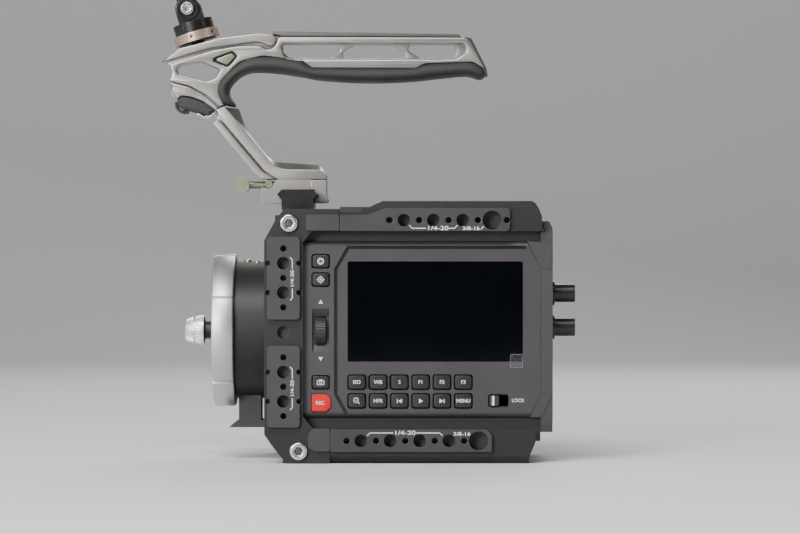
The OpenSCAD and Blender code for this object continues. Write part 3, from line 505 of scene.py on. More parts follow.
MATERIALS = {
    # The cage's recessed faces get painted shade, a near-black colour standing in for the shadow in its
    # recesses.
    "cage": Surface("cage_black", (0.036, 0.036, 0.038), 0.46, 0.2)
        .mottle(40, 0.12).polish(18, 0.06).grain(0.22, 0.012).painted_recess_shade(51.8, 2.35, (0.012, 0.012, 0.013))
        .worn((0.16, 0.16, 0.165), 0.45),
    # Painted shade: the chassis is near-black, darker than the body, to stand in for the shadow in the gaps
    # round the side panel.
    "inner": Surface("chassis_painted_shade_black", (0.014, 0.014, 0.0145), 0.55)
        .mottle(30, 0.1).polish(22, 0.07).grain(0.2, 0.012),
    "pad": Surface("pad_grey", (0.085, 0.083, 0.08), 0.5, 0.3)
        .mottle(16, 0.1).polish(10, 0.06).grain(0.2, 0.008),
    # Dark steel that paints the shade on the floors of the screws' hex sockets.
    "socket": Surface("socket_painted_shade_steel", (0.12, 0.12, 0.125), 0.35, 0.9).mottle(1, 0.2).grain(0.1, 0.004),
    "rail": Surface("rail_black", (0.008, 0.008, 0.0085), 0.4, 0.3)
        .mottle(20, 0.12).polish(12, 0.05).grain(0.2, 0.006),
    "body": Surface("body_charcoal", (0.036, 0.033, 0.035), 0.5)
        .mottle(30, 0.1).polish(22, 0.07).pebbles(0.42, 0.035).grain(0.15, 0.015),
    "glass": Surface("display_glass", (0.0014, 0.0021, 0.0034), 0.06)
        .mottle(60, 0.2).polish(35, 0.02).specular(0.1),
    # Near-black painted shade for the floor of the groove round the display.
    "groove_painted_shade": Surface("groove_painted_shade_black", (0.006, 0.006, 0.007), 0.3).polish(20, 0.05).grain(0.3, 0.004),
    "key": Surface("keypad_black", (0.01, 0.01, 0.012), 0.4)
        .mottle(8, 0.14).polish(6, 0.08).grain(0.16, 0.008),
    "record": Surface("record_red", (0.6, 0.012, 0.016), 0.42)
        .mottle(7, 0.08).polish(5, 0.06).grain(0.16, 0.006).specular(0.25),
    "legend": Surface("marking_white", (0.72, 0.72, 0.71), 0.5).mottle(2, 0.08).grain(0.1, 0.004),
    "wheel": Surface("wheel_black", (0.022, 0.022, 0.024), 0.5).mottle(4, 0.15).grain(0.2, 0.01),
    "connector": Surface("connector_metal", (0.04, 0.04, 0.042), 0.36, 0.85)
        .mottle(5, 0.15).lathe((0, middle("bnc_sockets").y, 0), 0.12, 0.004),
    "board": Surface("board_green", (0.012, 0.11, 0.05), 0.35).mottle(6, 0.3).grain(0.8, 0.02),
    "sensor": Surface("sensor_blue", (0.03, 0.035, 0.09), 0.12).mottle(5, 0.3).grain(0.5, 0.004),
    "aluminium": Surface("bare_aluminium", (0.6, 0.61, 0.62), 0.36, 1.0)
        .mottle(12, 0.08).grain(0.3, 0.01, 2, (1, 1, 12)),
    "moulded": Surface("moulded_black", (0.02, 0.02, 0.022), 0.5)
        .mottle(12, 0.14).polish(9, 0.08).grain(0.25, 0.012),
    "latch": Surface("latch_red", (0.42, 0.02, 0.015), 0.42).mottle(5, 0.1).grain(0.2, 0.006),
    "tube": Surface("mount_black", (0.02, 0.02, 0.021), 0.46, 0.4)
        .mottle(14, 0.15).lathe((0, 0, AXIS_Z), 0.16, 0.004).worn((0.15, 0.15, 0.155), 0.3),
    "ring": Surface("ring_silver", (0.6, 0.59, 0.58), 0.44, 1.0)
        .lathe((0, 0, AXIS_Z), 0.12, 0.003, 0.05),
    "knob": Surface("knob_bright", (0.78, 0.78, 0.77), 0.36, 1.0)
        .lathe((0, 0, AXIS_Z), 0.1, 0.002, 0.04),
    "brass": Surface("pin_brass", (0.55, 0.36, 0.12), 0.28, 1.0).mottle(2, 0.15).grain(0.1, 0.004),
    "steel": Surface("screw_steel", (0.66, 0.66, 0.67), 0.24, 1.0)
        .mottle(3, 0.1).polish(2, 0.06).grain(0.12, 0.004),
    "handle": Surface("handle_silver", (0.36, 0.345, 0.33), 0.36, 0.92)
        .mottle(35, 0.05, (1, 0.99, 0.97)).polish(16, 0.05).grain(0.16, 0.008).worn((0.66, 0.64, 0.62), 0.3),
    "rubber": Surface("grip_rubber", (0.031, 0.029, 0.028), 0.66)
        .mottle(20, 0.15).polish(14, 0.08).pebbles(0.5, 0.05).specular(0.35),
    # Darker metal that paints the shade on the downward-turned lower band of the handle's sides.
    "painted_shade_band": Surface("handle_painted_shade", (0.2, 0.195, 0.19), 0.5, 0.7).mottle(12, 0.06).grain(0.16, 0.006),
    "film": Surface("clear_film", (0.3, 0.31, 0.33), 0.2).mottle(3, 0.05).see_through(0.05),
    "film_edge": Surface("clear_film_edge", (0.6, 0.6, 0.62), 0.25).mottle(3, 0.05).see_through(0.13),
    "accent": Surface("accent_green", (0.27, 0.29, 0.2), 0.36, 0.75)
        .mottle(6, 0.08).grain(0.16, 0.006).worn((0.6, 0.6, 0.52), 0.4),
    "bronze": Surface("collar_bronze", (0.5, 0.4, 0.33), 0.38, 0.85)
        .mottle(5, 0.12).grain(0.15, 0.006).worn((0.7, 0.5, 0.36), 0.6, 0.2),
    "head": Surface("mount_head_black", (0.014, 0.014, 0.015), 0.3, 0.45)
        .mottle(10, 0.15).polish(6, 0.06).grain(0.2, 0.006).worn((0.15, 0.15, 0.155), 0.4),
    "stage": Surface("stage_pale", (0.72, 0.72, 0.72), 0.7).mottle(900, 0.01),
}
MATERIALS = {key: surface.material for key, surface in MATERIALS.items()}


# CAD nodes whose shape is right -------------------------------------------------------------------------

KEPT = {
    "cage": (0.45, ["left_column", "right_column", "top_plate", "bottom_plate", "lens_support"]),
    "rail": (0.4, ["cross_rail"]),
    "bronze": (0.15, ["lock_collar"]),
    # The chassis takes the near-black colour that paints the shade in the gaps round the side panel.
    "inner": (0.5, ["chassis"]),
    "body": (0.5, ["control_panel", "right_cover", "rear_cover", "media_door"]),
    "glass": (0.2, ["display_glass"]),
    "wheel": (0.15, ["scroll_wheel"]),
    "connector": (0.15, ["bnc_sockets"]),
    "board": (0.1, ["main_board"]),
    "sensor": (0.1, ["image_sensor"]),
    "aluminium": (0.15, ["heat_sink"]),
    "moulded": (0.3, ["fan_rotor", "battery", "battery_bay"]),
    "latch": (0.25, ["battery_latch"]),
    "tube": (0.4, ["mount_tube", "mount_cap"]),
    "steel": (0.35, ["cage_screws", "pivot_screw"]),
    "handle": (0.6, ["clamp_body", "clamp_jaw"]),
    "accent": (0.4, ["clamp_screw"]),
    "head": (0.45, ["mount_post", "mount_yoke", "tilt_head"]),
}


# Plates whose flat faces have windows, so they aren't joined into single faces
WINDOWED = ("top_plate", "bottom_plate", "chassis")


def finish_kept_nodes():
    for key, (width, names) in KEPT.items():
        for name in names:
            paint(NODES[name].data, key)
            soften(NODES[name], width, whole=name not in WINDOWED)


# Controls -----------------------------------------------------------------------------------------------

FLANGE = 0.5
SEAT = 0.3


def key_cap(node):
    """A push key with rounded edges, in its CAD node's place."""
    a = low(node)
    b = high(node)
    mid = middle(node)
    shrink = 0.6
    width = b.x - a.x - shrink
    height = b.z - a.z - 2 * FLANGE - shrink
    outline = rectangle(mid.x, mid.z, width, height, 1.3)
    cap = plate(node + "_cap", [outline], a.y, b.y - SEAT, 0.45, "key", steps=4)
    place(cap, BODY_OF[node], node, slot="keypad_black")


LETTERED = {"key_iso": "ISO", "key_wb": "WB", "key_shutter": "S", "key_f1": "F1", "key_f2": "F2",
            "key_f3": "F3", "key_hfr": "HFR", "key_menu": "MENU"}
LEGEND = 1.9
FACE = 0.03


def face_y(node):
    return low(node).y - FACE


def mark(node, name, loops):
    """A flat white mark on a key."""
    piece = plate(name, loops, face_y(node), face_y(node) + 0.05, 0.005, "legend", steps=0)
    place(piece, BODY_OF[node])


def ring(x, z, outer, inner):
    return [circle(x, z, outer), circle(x, z, inner)]


def make_keys():
    keys = [n for n in NODES if n.startswith("key_")] + ["button_iris", "button_focus", "button_still"]
    for node in keys:
        key_cap(node)
    for node, text in LETTERED.items():
        at = middle(node)
        piece = lettering("legend_" + node, text, at.x, at.z, LEGEND, face_y(node), "legend")
        place(piece, BODY_OF[node])
    make_icons()
    make_record_key()


def make_icons():
    make_zoom_icon()
    make_arrow_icons()
    make_iris_icon()
    make_focus_icon()
    make_still_icon()


def shifted(at, points):
    """Points given from the middle of a key."""
    return [(at.x + x, at.z + z) for x, z in points]


def make_zoom_icon():
    node = "key_zoom"
    at = middle(node)
    mark(node, "zoom_lens", ring(at.x - 0.4, at.z + 0.4, 1.35, 1.0))
    mark(node, "zoom_cross", [shifted(at, [(-0.95, 0.28), (0.15, 0.28), (0.15, 0.52), (-0.95, 0.52)])])
    mark(node, "zoom_stem", [shifted(at, [(0.45, -0.2), (1.55, -1.3), (1.3, -1.55), (0.2, -0.45)])])


def make_arrow_icons():
    for node, side in (("key_previous", -1), ("key_next", 1)):
        at = middle(node)
        arrow = [(-side * 1.3, -1.1), (side * 0.7, 0), (-side * 1.3, 1.1)]
        bar = [(side * 0.9, -1.1), (side * 1.25, -1.1), (side * 1.25, 1.1), (side * 0.9, 1.1)]
        mark(node, node + "_arrow", [shifted(at, arrow)])
        mark(node, node + "_bar", [shifted(at, bar)])
    mark("key_play", "play_arrow", [shifted(middle("key_play"), [(-0.9, -1.2), (1.2, 0), (-0.9, 1.2)])])


def make_iris_icon():
    """A ring with six blades inside it."""
    node = "button_iris"
    at = middle(node)
    mark(node, "iris_ring", ring(at.x, at.z, 1.7, 1.25))
    half = 0.12
    for k in range(6):
        a = math.pi / 3 * k
        c = math.cos(a)
        s = math.sin(a)
        blade = [(1.3 * c + half * s, 1.3 * s - half * c), (1.3 * c - half * s, 1.3 * s + half * c),
                 (0.6 * math.cos(a + 0.9), 0.6 * math.sin(a + 0.9)),
                 (0.5 * math.cos(a + 0.6), 0.5 * math.sin(a + 0.6))]
        mark(node, f"iris_blade_{k}", [shifted(at, blade)])


def make_focus_icon():
    """A ring with a dot in it and four ticks round it."""
    node = "button_focus"
    at = middle(node)
    mark(node, "focus_ring", ring(at.x, at.z, 1.5, 1.15))
    mark(node, "focus_dot", [circle(at.x, at.z, 0.5)])
    start = 1.45
    end = 1.9
    half = 0.2
    for k in range(4):
        c = math.cos(math.pi / 2 * k)
        s = math.sin(math.pi / 2 * k)
        tick = [(start * c + half * s, start * s - half * c), (end * c + half * s, end * s - half * c),
                (end * c - half * s, end * s + half * c), (start * c - half * s, start * s + half * c)]
        mark(node, f"focus_tick_{k}", [shifted(at, tick)])


def make_still_icon():
    """The outline of a camera."""
    node = "button_still"
    at = middle(node)
    drop = 0.1
    outline = rectangle(at.x, at.z - drop, 3.8, 2.5, 0.4)
    window = rectangle(at.x, at.z - drop, 3.2, 1.9, 0.2)
    mark(node, "still_body", [outline, window])
    mark(node, "still_lens", ring(at.x, at.z - drop, 0.85, 0.55))
    mark(node, "still_finder", [shifted(at, [(-0.8, 1.15), (0.8, 1.15), (0.5, 1.6), (-0.5, 1.6)])])


def make_record_key():
    a = low("button_record")
    b = high("button_record")
    left = a.x + FLANGE
    right = b.x - FLANGE
    bottom = a.z + FLANGE
    top = b.z - FLANGE
    nose = 2.2
    outline = rounded([(left, bottom, 1), (right - nose, bottom, 0.8), (right, bottom + nose, 0.8),
                       (right, top - nose, 0.8), (right - nose, top, 0.8), (left, top, 1)])
    cap = plate("record_cap", [outline], a.y, b.y - SEAT, 0.5, "record", steps=4)
    place(cap, BODY_OF["button_record"], "button_record", slot="record_red")
    at = middle("button_record")
    text = lettering("legend_record", "REC", at.x - 0.6, at.z, 1.8, a.y - FACE, "legend")
    place(text, BODY_OF["button_record"])


# Handle -------------------------------------------------------------------------------------------------

FRAME_HALF = 9.0
GRIP_HALF = 12.9
SEAM = [(44.8, 204), (38, 207.7, 3), (13.1, 206.9, 3), (8.7, 204.3, 3), (-46.5, 204.5, 3), (-51.5, 208.4, 4),
        (-72, 211, 12), (-84, 208, 10), (-96.4, 195.2, 8), (-92.1, 185.2)]
HEAD_FRONT = [(-94.8, 184.6), (-101.6, 190.6), (-110.3, 195.3, 14), (-120.9, 197.9, 1), (-119.6, 202, 2)]
TOP_RIM = [(-62, 221.2, 6), (36, 220.9, 5)]
LONG_WINDOW = [(-62.8, 217.6, 1.6), (-61, 211.4, 3), (-57, 209.4, 3), (29, 209.4, 4), (35.4, 213.4, 3),
               (33.6, 217.6, 2)]
HEAD_WINDOW = [(-117.6, 204.3, 1), (-116, 201.8, 1), (-101.4, 197.8, 2), (-97, 199.4, 2), (-94.1, 203.7, 1),
               (-103.4, 208, 1), (-114.8, 206.7, 1)]
BADGE = [(-99.9, 209.2, 1.2), (-87.8, 213.7, 1.2), (-85.2, 211, 1.2), (-90.3, 205.2, 1.2)]
BAND = [(-125.6, 207.2), (-99.3, 215.3, 60), (-73.2, 218.6, 12), (-66.2, 214.6, 3), (-64.5, 220.9, 1),
        (-67.1, 222.5, 6), (-75, 223.2, 20), (-94.6, 220.7, 30), (-116.6, 214.9, 8)]


def mirrored_pair(name, loops, start, end, bevel, material):
    """The same plate on both sides of the handle; start and end are distances from its middle plane."""
    near = plate(name + "_near", loops, -end, -start, bevel, material)
    far = plate(name + "_far", loops, start, end, bevel, material)
    return join(name, [near, far])


def make_handle_frame():
    window = rounded(LONG_WINDOW)
    head = rounded(HEAD_WINDOW)
    badge = rounded(BADGE)
    full_top = [(-120.4, 205.4, 2), (-122.6, 208.4), (-116.6, 214.4, 8), (-94.6, 220.2, 30), (-75, 222.6, 20),
                (-67.1, 221.8, 8)]
    core = plate("frame_core", [rounded(SEAM + HEAD_FRONT + full_top + TOP_RIM), window, head, badge],
                 -6.4, 6.4, 0.3, "handle")
    groove_edge = [(-121, 206.6, 1.5), (-99.3, 213.9, 60), (-86, 216.2, 20), (-73.8, 216.6, 10),
                   (-68.6, 214, 3), (-65.2, 217, 3), (-64, 221, 2)]
    side = rounded(SEAM + HEAD_FRONT + groove_edge + TOP_RIM)
    main = mirrored_pair("frame_side", [side, window, head, badge], 2.0, FRAME_HALF, 0.9, "handle")
    band = plate("frame_band", [rounded(BAND)], -10.2, 10.2, 1.1, "handle", steps=5)
    frame_piece = join("handle_frame_made", [core, main, band])
    place(frame_piece, "handle", "handle_frame", slot="handle_silver")
    make_window_web()
    make_head_strut()
    make_badge_and_painted_shade()


def make_window_web():
    """The thin web that spans the long window, cut into three slots by two waisted struts."""
    slots = [
        [(-61.6, 217.2, 0.8), (-61.3, 213.4, 1), (-58.4, 210.7, 1.5), (-37.3, 210.5, 0.6), (-31, 214.3, 1.6),
         (-32.6, 217.2, 0.8)],
        [(-23.7, 217, 2.5), (-30.2, 213.6, 2), (-29.6, 210.4, 0.8), (2.7, 210.4, 0.8), (3, 213.6, 2),
         (-3.6, 217, 2.5)],
        [(5.3, 217.1, 0.8), (3.8, 214.4, 1.6), (10.2, 210.5, 0.6), (28, 210.5, 2), (30.4, 214, 2.5),
         (28.4, 217.1, 1)]]
    edge = [(-64.6, 208), (36.8, 208), (36.8, 219), (-64.6, 219)]
    web = plate("window_web", [edge] + [rounded(slot) for slot in slots], -2.4, 2.4, 0.4, "handle")
    place(web, "handle", slot="handle_silver")


def make_head_strut():
    outline = [(-104.4, 208.6), (-102.6, 207.2), (-93.4, 203.4), (-92.6, 205.4), (-101.2, 209.4)]
    strut = plate("head_strut", [outline], -6.8, 6.8, 0.4, "handle")
    place(strut, "handle", slot="handle_silver")


def make_badge_and_painted_shade():
    """The green insert in its black rim, and a darker band of painted shade on the lower part of the frame's
    sides, where the frame turns down away from the light.
    """
    rim = mirrored_pair("badge_rim", [rounded(BADGE)], 4.2, 6.6, 0.3, "rubber")
    place(rim, "handle", slot="grip_rubber")
    inner = [(-98, 209.1, 0.9), (-88.1, 212.7, 0.9), (-86.3, 210.9, 0.9), (-90.6, 206.4, 0.9)]
    insert = mirrored_pair("badge_face", [rounded(inner)], 5, 8.2, 0.6, "accent")
    place(insert, "handle", "badge_insert", slot="accent_green")
    # Painted shade: this darker band stands in for the shade on the frame's lower zone.
    band = [(-49.6, 208.1, 0.4), (-46.2, 204.9, 0.8), (8.4, 204.7, 0.8), (12.6, 207.3, 0.4)]
    shade = mirrored_pair("side_painted_shade", [rounded(band)], 8.2, 9.3, 0.25, "painted_shade_band")
    place(shade, "handle", slot="handle_silver")


# Where the grip starts under the frame and where it ends below, from its tail to the neck
GRIP_STATIONS = [
    ((44.8, 204.2), (45.0, 199.9)), ((41.5, 206), (42.3, 198.8)), ((38, 207.8), (40.5, 198.9)),
    ((34, 207.8), (36, 201.1)),
    ((25, 207.4), (27, 200.1)), ((13.1, 207), (14, 198.7)), ((10.9, 205.8), (11, 198.3)),
    ((8.7, 204.6), (8.7, 198)),
    ((-8, 204.6), (-8.4, 196.9)), ((-25.6, 204.7), (-25.6, 197.2)), ((-43.4, 204.8), (-43.4, 198.5)),
    ((-46.5, 204.9), (-47.5, 199.5)), ((-49, 206.6), (-51.5, 200.3)), ((-51.5, 208.4), (-55.9, 200.9)),
    ((-60, 209.9), (-62, 201.9)), ((-70.3, 210.9), (-67.7, 202.4)), ((-78, 210.2), (-74.5, 202.8)),
    ((-84, 207.8), (-79.4, 202.4)), ((-88.5, 203.6), (-83.6, 200.6)), ((-92, 200.2), (-86.8, 197.8)),
    ((-95, 197), (-89, 195)), ((-96.1, 194), (-89.9, 192.4)), ((-95.4, 191), (-89.2, 190)),
    ((-94, 188), (-87.4, 187.5)),
    ((-92.4, 185.3), (-84.9, 184))]
# Share of the way down a section, and the share of the grip's half width there
GRIP_SECTION = [(0, 0.74), (0.08, 0.86), (0.24, 0.97), (0.5, 1), (0.74, 0.93), (0.92, 0.7), (1, 0.36)]


def make_grip():
    """The rubber grip: one swelling section after another along the underside of the frame."""
    verts = []
    faces = []
    section = [(t, -w) for t, w in GRIP_SECTION] + [(t, w) for t, w in reversed(GRIP_SECTION)]
    count = len(section)
    last = len(GRIP_STATIONS) - 1
    for i, (top, bottom) in enumerate(GRIP_STATIONS):
        taper = 0.8 if i in (0, last) else 0.93 if i in (1, last - 1) else 1
        for t, w in section:
            x = top[0] + (bottom[0] - top[0]) * t
            z = top[1] + (bottom[1] - top[1]) * t
            verts.append((x, w * GRIP_HALF * taper, z))
    for i in range(last):
        for k in range(count):
            a = i * count + k
            b = i * count + (k + 1) % count
            faces.append((a, b, b + count, a + count))
    faces.append(tuple(range(count - 1, -1, -1)))
    faces.append(tuple(range(last * count, (last + 1) * count)))
    grip = mesh_piece("grip_made", verts, faces, "rubber")
    surface = grip.modifiers.new("round", "SUBSURF")
    surface.levels = 2
    surface.render_levels = 2
    smooth(grip)
    place(grip, "handle", "handle_grip", slot="grip_rubber")
    strip = [(-66.9, 222.7, 0.3), (-61.9, 221.5, 0.5), (31.2, 221.1, 0.3), (32.2, 221.4, 0.2),
             (30.8, 222.7, 0.8), (-66.4, 224.1, 0.8)]
    pad = plate("top_strip", [rounded(strip)], -7.6, 7.6, 0.35, "pad")
    place(pad, "handle", "top_pad", slot="grip_rubber")


def make_head_lower():
    """The block under the head with its screw, the finger rest, its hook and its bright lip."""
    block = [(-120.7, 197.6, 0.5), (-110.3, 194.9, 14), (-101.6, 190.2, 30), (-95.2, 184.6, 0.5),
             (-95.9, 181.8, 0.5), (-97.2, 182.8), (-103.4, 187.2, 5), (-109, 189.4, 4), (-114.4, 190.2, 2),
             (-116.9, 188.2, 1), (-119.8, 192.7, 4)]
    knuckle = plate("head_block", [rounded(block)], -8.6, 8.6, 1.1, "handle", steps=4)
    place(knuckle, "handle", "arm_knuckle", slot="handle_silver")
    rest = [(-117, 187.9, 1), (-114.4, 190, 2), (-109, 189.2, 4), (-103.4, 187, 5), (-97, 182.5, 0.8),
            (-100, 179.3, 1.5), (-105, 180.9, 2), (-110.5, 182.5, 3), (-113.4, 182.6, 1), (-116.3, 184.4, 2)]
    pad = plate("finger_pad", [rounded(rest)], -8.6, 8.6, 1.6, "rubber", steps=4)
    place(pad, "handle", "finger_rest", slot="grip_rubber")
    hook_line = [(-117.6, 187), (-117.5, 184.6), (-116.2, 182.7), (-114, 181.8), (-111.4, 182.2)]
    for name, y in (("near", -5.4), ("far", 5.4)):
        hook = tube("rest_hook_" + name, [(x, y, z) for x, z in hook_line], 0.75, "moulded")
        place(hook, "handle", slot="grip_rubber")
    lip_line = [(-106.6, 180.5, 0.3), (-102.6, 178.6, 1), (-99.4, 178.7, 0.8), (-96, 181.7, 0.3),
                (-96.5, 182.3, 0.3), (-99.9, 179.8, 0.8), (-102.4, 179.6, 1), (-106.3, 181.2, 0.3)]
    lip = plate("rest_lip", [rounded(lip_line)], -7.9, 7.9, 0.25, "steel")
    place(lip, "handle", slot="handle_silver")
    screw = spun("front_screw", [(0, 0), (0, 2.1), (0.9, 2.1), (1.3, 1.7), (1.3, 1), (0.6, 0.9), (0.6, 0)],
                 along_x(-118.9, 0, 192.4), "steel", 40)
    place(screw, "handle", slot="screw_steel")


# The arm: its front face, and the edge that its broad chamfer falls back to
ARM_FACE = [(-92, 184.6), (-81, 171.6), (-73, 162), (-68.4, 156.4), (-65.2, 153.2), (-61, 151.8),
            (-55, 151.6), (-42, 151.4), (-40.4, 150.6), (-39, 149)]
ARM_BACK = [(-84.9, 183.7), (-82, 175.4), (-74.7, 164.6), (-69.6, 158.6), (-66, 155.9), (-61, 155.2),
            (-55, 154.9), (-43, 154), (-41, 152.4), (-39.4, 150)]


def make_arm_chamfer():
    """The sloping flanks between the arm's front face and its narrower back."""
    verts = []
    faces = []
    inner = 4.2
    last = len(ARM_FACE) - 1
    for side in (-1, 1):
        start = len(verts)
        for face, back in zip(ARM_FACE, ARM_BACK):
            verts.append((face[0] - 0.6, side * (FRAME_HALF - 0.45), face[1] - 0.4))
            verts.append((back[0], side * inner, back[1]))
            verts.append((face[0] - 2, side * inner, face[1] - 1.4))
        end = start + 3 * last
        skin = []
        for a in range(start, end, 3):
            skin += [(a, a + 3, a + 4, a + 1), (a + 1, a + 4, a + 5, a + 2), (a + 2, a + 5, a + 3, a)]
        skin += [(start, start + 1, start + 2), (end, end + 2, end + 1)]
        faces += skin if side < 0 else [corners[::-1] for corners in skin]
    return smooth(mesh_piece("arm_chamfer", verts, faces, "handle"))


def make_arm():
    upper = ARM_FACE + [(-38.4, 148.4), (-38.4, 146.4), (-64.4, 146.4), (-66.6, 147.9), (-71.2, 151),
                        (-94.9, 179.2), (-96.2, 183)]
    first = plate("arm_upper_bar", [upper], -FRAME_HALF, FRAME_HALF, 0.5, "handle")
    lower = [(-95.4, 178.4, 0.5), (-71.9, 150.5, 6), (-66.3, 147.2, 3), (-65, 146.4), (-72.9, 146.4, 1.5),
             (-76, 149, 4), (-98, 175.5, 0.8)]
    second = plate("arm_lower_bar", [rounded(lower)], -FRAME_HALF, FRAME_HALF, 0.5, "handle")
    inner = [(x - 0.3, z - 0.4) for x, z in ARM_BACK]
    inner += [(-38.6, 146.4), (-72, 146.4), (-96.6, 176.6), (-95.6, 182.6)]
    core = plate("arm_core", [inner], -4.4, 4.4, 0.3, "handle")
    arm = join("arm_made", [first, second, core, make_arm_chamfer()])
    place(arm, "handle", "handle_arm", slot="handle_silver")
    nut_profile = [(-13.2, 0), (-13.2, 1.7), (-12.8, 2.05), (12.8, 2.05), (13.2, 1.7), (13.2, 0.9),
                   (12.4, 0.8), (12.4, 0)]
    nut = spun("barrel_nut", nut_profile, along_y(-68.5, 0, 143.6), "accent", 40)
    place(nut, "handle", slot="accent_green")


# Outline of the dark strip of painted shade round the back end of the handle.
END_SHADE_TRIM = [(33.9, 221.15), (37.4, 220.4), (40.9, 213.4), (45.4, 204.4), (46, 200.9), (44.2, 200.7),
            (43.3, 203.9), (38.9, 212.8), (35.9, 218.6)]


def make_end_shade_trim():
    """Painted shade: a dark rubber-coloured strip up round the back end of the handle, standing in for the
    shade on the rounded end that turns away from the light.
    """
    half = FRAME_HALF - 0.15
    trim = plate("handle_end_painted_shade", [END_SHADE_TRIM], -half, half, 0.3, "rubber")
    place(trim, "handle", slot="grip_rubber")


# Markings -----------------------------------------------------------------------------------------------

STROKE = 0.42


def stroke(name, points, y, body="rig"):
    """A painted line of even width along points in X and Z."""
    half = STROKE / 2
    normals = []
    for i, point in enumerate(points):
        before = points[max(0, i - 1)]
        after = points[min(len(points) - 1, i + 1)]
        dx, dz = unit(after[0] - before[0], after[1] - before[1])
        normals.append((-dz, dx))
    left = [(x + nx * half, z + nz * half) for (x, z), (nx, nz) in zip(points, normals)]
    right = [(x - nx * half, z - nz * half) for (x, z), (nx, nz) in zip(points, normals)]
    piece = plate(name, [left + right[::-1]], y - 0.02, y + 0.05, 0.003, "legend", steps=0)
    place(piece, body)


QUARTER = "1/4-20"
LARGE = "3/8-16"
BAR_FACE = -56.0
PAD_FACE = -56.5
INK = 0.02      # how far ink stands off a face


def make_column_marks():
    """A bracket and a thread size on each of the column's two pads."""
    edge = -54.9
    tip = -56
    slope = 1.4
    reach = 5
    for name, top, bottom in (("upper", 105.4, 83.4), ("lower", 49.5, 27.5)):
        mid = (top + bottom) / 2
        stroke(f"mark_{name}_a", [(tip, top), (edge, top - slope), (edge, mid + reach)], PAD_FACE)
        stroke(f"mark_{name}_b", [(tip, bottom), (edge, bottom + slope), (edge, mid - reach)], PAD_FACE)
        text = lettering(f"mark_{name}_text", QUARTER, edge, mid, 1.75, PAD_FACE - INK, "legend",
                         math.pi / 2, 1.38)
        place(text, "rig")


def make_bar_marks():
    """A bracket and two thread sizes on the bars of the cage's top and base."""
    slope = 1.5
    reach = 5.9
    # Name, heights of the bracket's tips and line, its two ends, its text's middle, the other text's place
    rows = (("top", 121.8, 120.2, 4.7, 29.3, 19.2, 36.2, 120.1),
            ("base", 14.4, 15.8, -16.8, 21.7, 2.4, 31.5, 15.2))
    ink = BAR_FACE - INK
    for name, tip, line, left, right, text_x, large_x, large_z in rows:
        stroke(f"mark_{name}_a", [(left, tip), (left + slope, line), (text_x - reach, line)], BAR_FACE)
        stroke(f"mark_{name}_b", [(right, tip), (right - slope, line), (text_x + reach, line)], BAR_FACE)
        place(lettering(f"mark_{name}_quarter", QUARTER, text_x, line, 2.15, ink, "legend", 0, 1.45), "rig")
        place(lettering(f"mark_{name}_large", LARGE, large_x, large_z, 1.9, ink, "legend", 0, 1.3), "rig")
    stroke("mark_top_c", [(41.2, 119.6), (42.7, 121.2)], BAR_FACE)


def make_panel_marks():
    """The arrows over and under the wheel, the lock's text, the ribs between keys and the film's pull tab."""
    face = -50.0
    x = middle("scroll_wheel").x
    for name, z, way in (("up", 82.6, 1), ("down", 53.4, -1)):
        loop = [(x - 1.15, z - 0.9 * way), (x + 1.15, z - 0.9 * way), (x, z + 1.1 * way)]
        place(plate("arrow_" + name, [loop], face - INK, face + 0.05, 0.003, "legend", steps=0), "rig")
    place(lettering("lock_text", "LOCK", 60.4, 32.1, 1.75, face - INK, "legend"), "rig")
    for k, pair in enumerate((("key_iso", "key_wb"), ("key_wb", "key_shutter"))):
        mid = (middle(pair[0]) + middle(pair[1])) / 2
        rib = plate(f"key_rib_{k}", [rectangle(mid.x, mid.z, 0.9, 6.6, 0.2)], face - 0.35, face + 0.1, 0.12,
                    "key")
        place(rib, "rig", slot="keypad_black")
    tab_face = face - 0.09
    outline = rectangle(59.6, 52.4, 6.4, 7, 0.5)
    tab = plate("film_tab", [outline], tab_face, face - INK, 0.02, "film")
    place(tab, "rig")
    inner = rectangle(59.6, 52.4, 5.9, 6.5, 0.3)
    edge = plate("film_tab_edge", [outline, inner], tab_face - 0.05, tab_face, 0.01, "film_edge",
                 steps=0)
    place(edge, "rig")


PANEL_GROOVE = [(64.6, 109.75), (-25.8, 109.75), (-32.05, 99.2), (-32.05, 35.6), (-26.8, 25.7), (-28, 25.1),
                (-33.55, 35.3), (-33.55, 99.6), (-26.8, 111.15), (64.6, 111.15)]


def make_panel_groove_shade():
    """Painted shade: a near-black sheet on the floor of the groove round the display, standing in for the
    shadow in it.
    """
    depth = 1.2
    floor_y = low("control_panel").y + depth
    floor = plate("panel_groove_painted_shade", [PANEL_GROOVE], floor_y - 0.08, floor_y + 0.02, 0.02,
                  "groove_painted_shade", steps=0)
    place(floor, "rig")


HEAD_R = 4.6


def hexagon(x, z, radius):
    return circle(x, z, radius, 6)


def on_side(profile, side):
    """A turned profile for the far end (side 1) or the near end (side -1), in rising order of height."""
    points = [(-side * height, radius) for height, radius in profile]
    return points if points[0][0] < points[-1][0] else points[::-1]


def frame_screw(tag, x, z, side, face_y):
    """One button-head screw, as a head, the floor of its socket in a dark steel that paints the shade inside
    it, and a shank.
    """
    head_depth = 2.8
    shank_r = 1.95
    head = sorted((side * face_y, side * (face_y - head_depth)))
    floor = sorted((side * (face_y - 1.9), side * (face_y - 2.7)))
    shank = [(face_y - 11.6, 0), (face_y - 11.6, 1.6), (face_y - 11.2, shank_r), (face_y - 2.7, shank_r),
             (face_y - 2.7, 0)]
    return [
        plate("screw_head_" + tag, [circle(x, z, HEAD_R), hexagon(x, z, 2.15)], *head, 1.0, "steel", steps=5),
        plate("screw_socket_shade_" + tag, [circle(x, z, 2.7)], *floor, 0.1, "socket", steps=1),
        spun("screw_shank_" + tag, on_side(shank, side), along_y(x, 0, z), "steel", 24)]


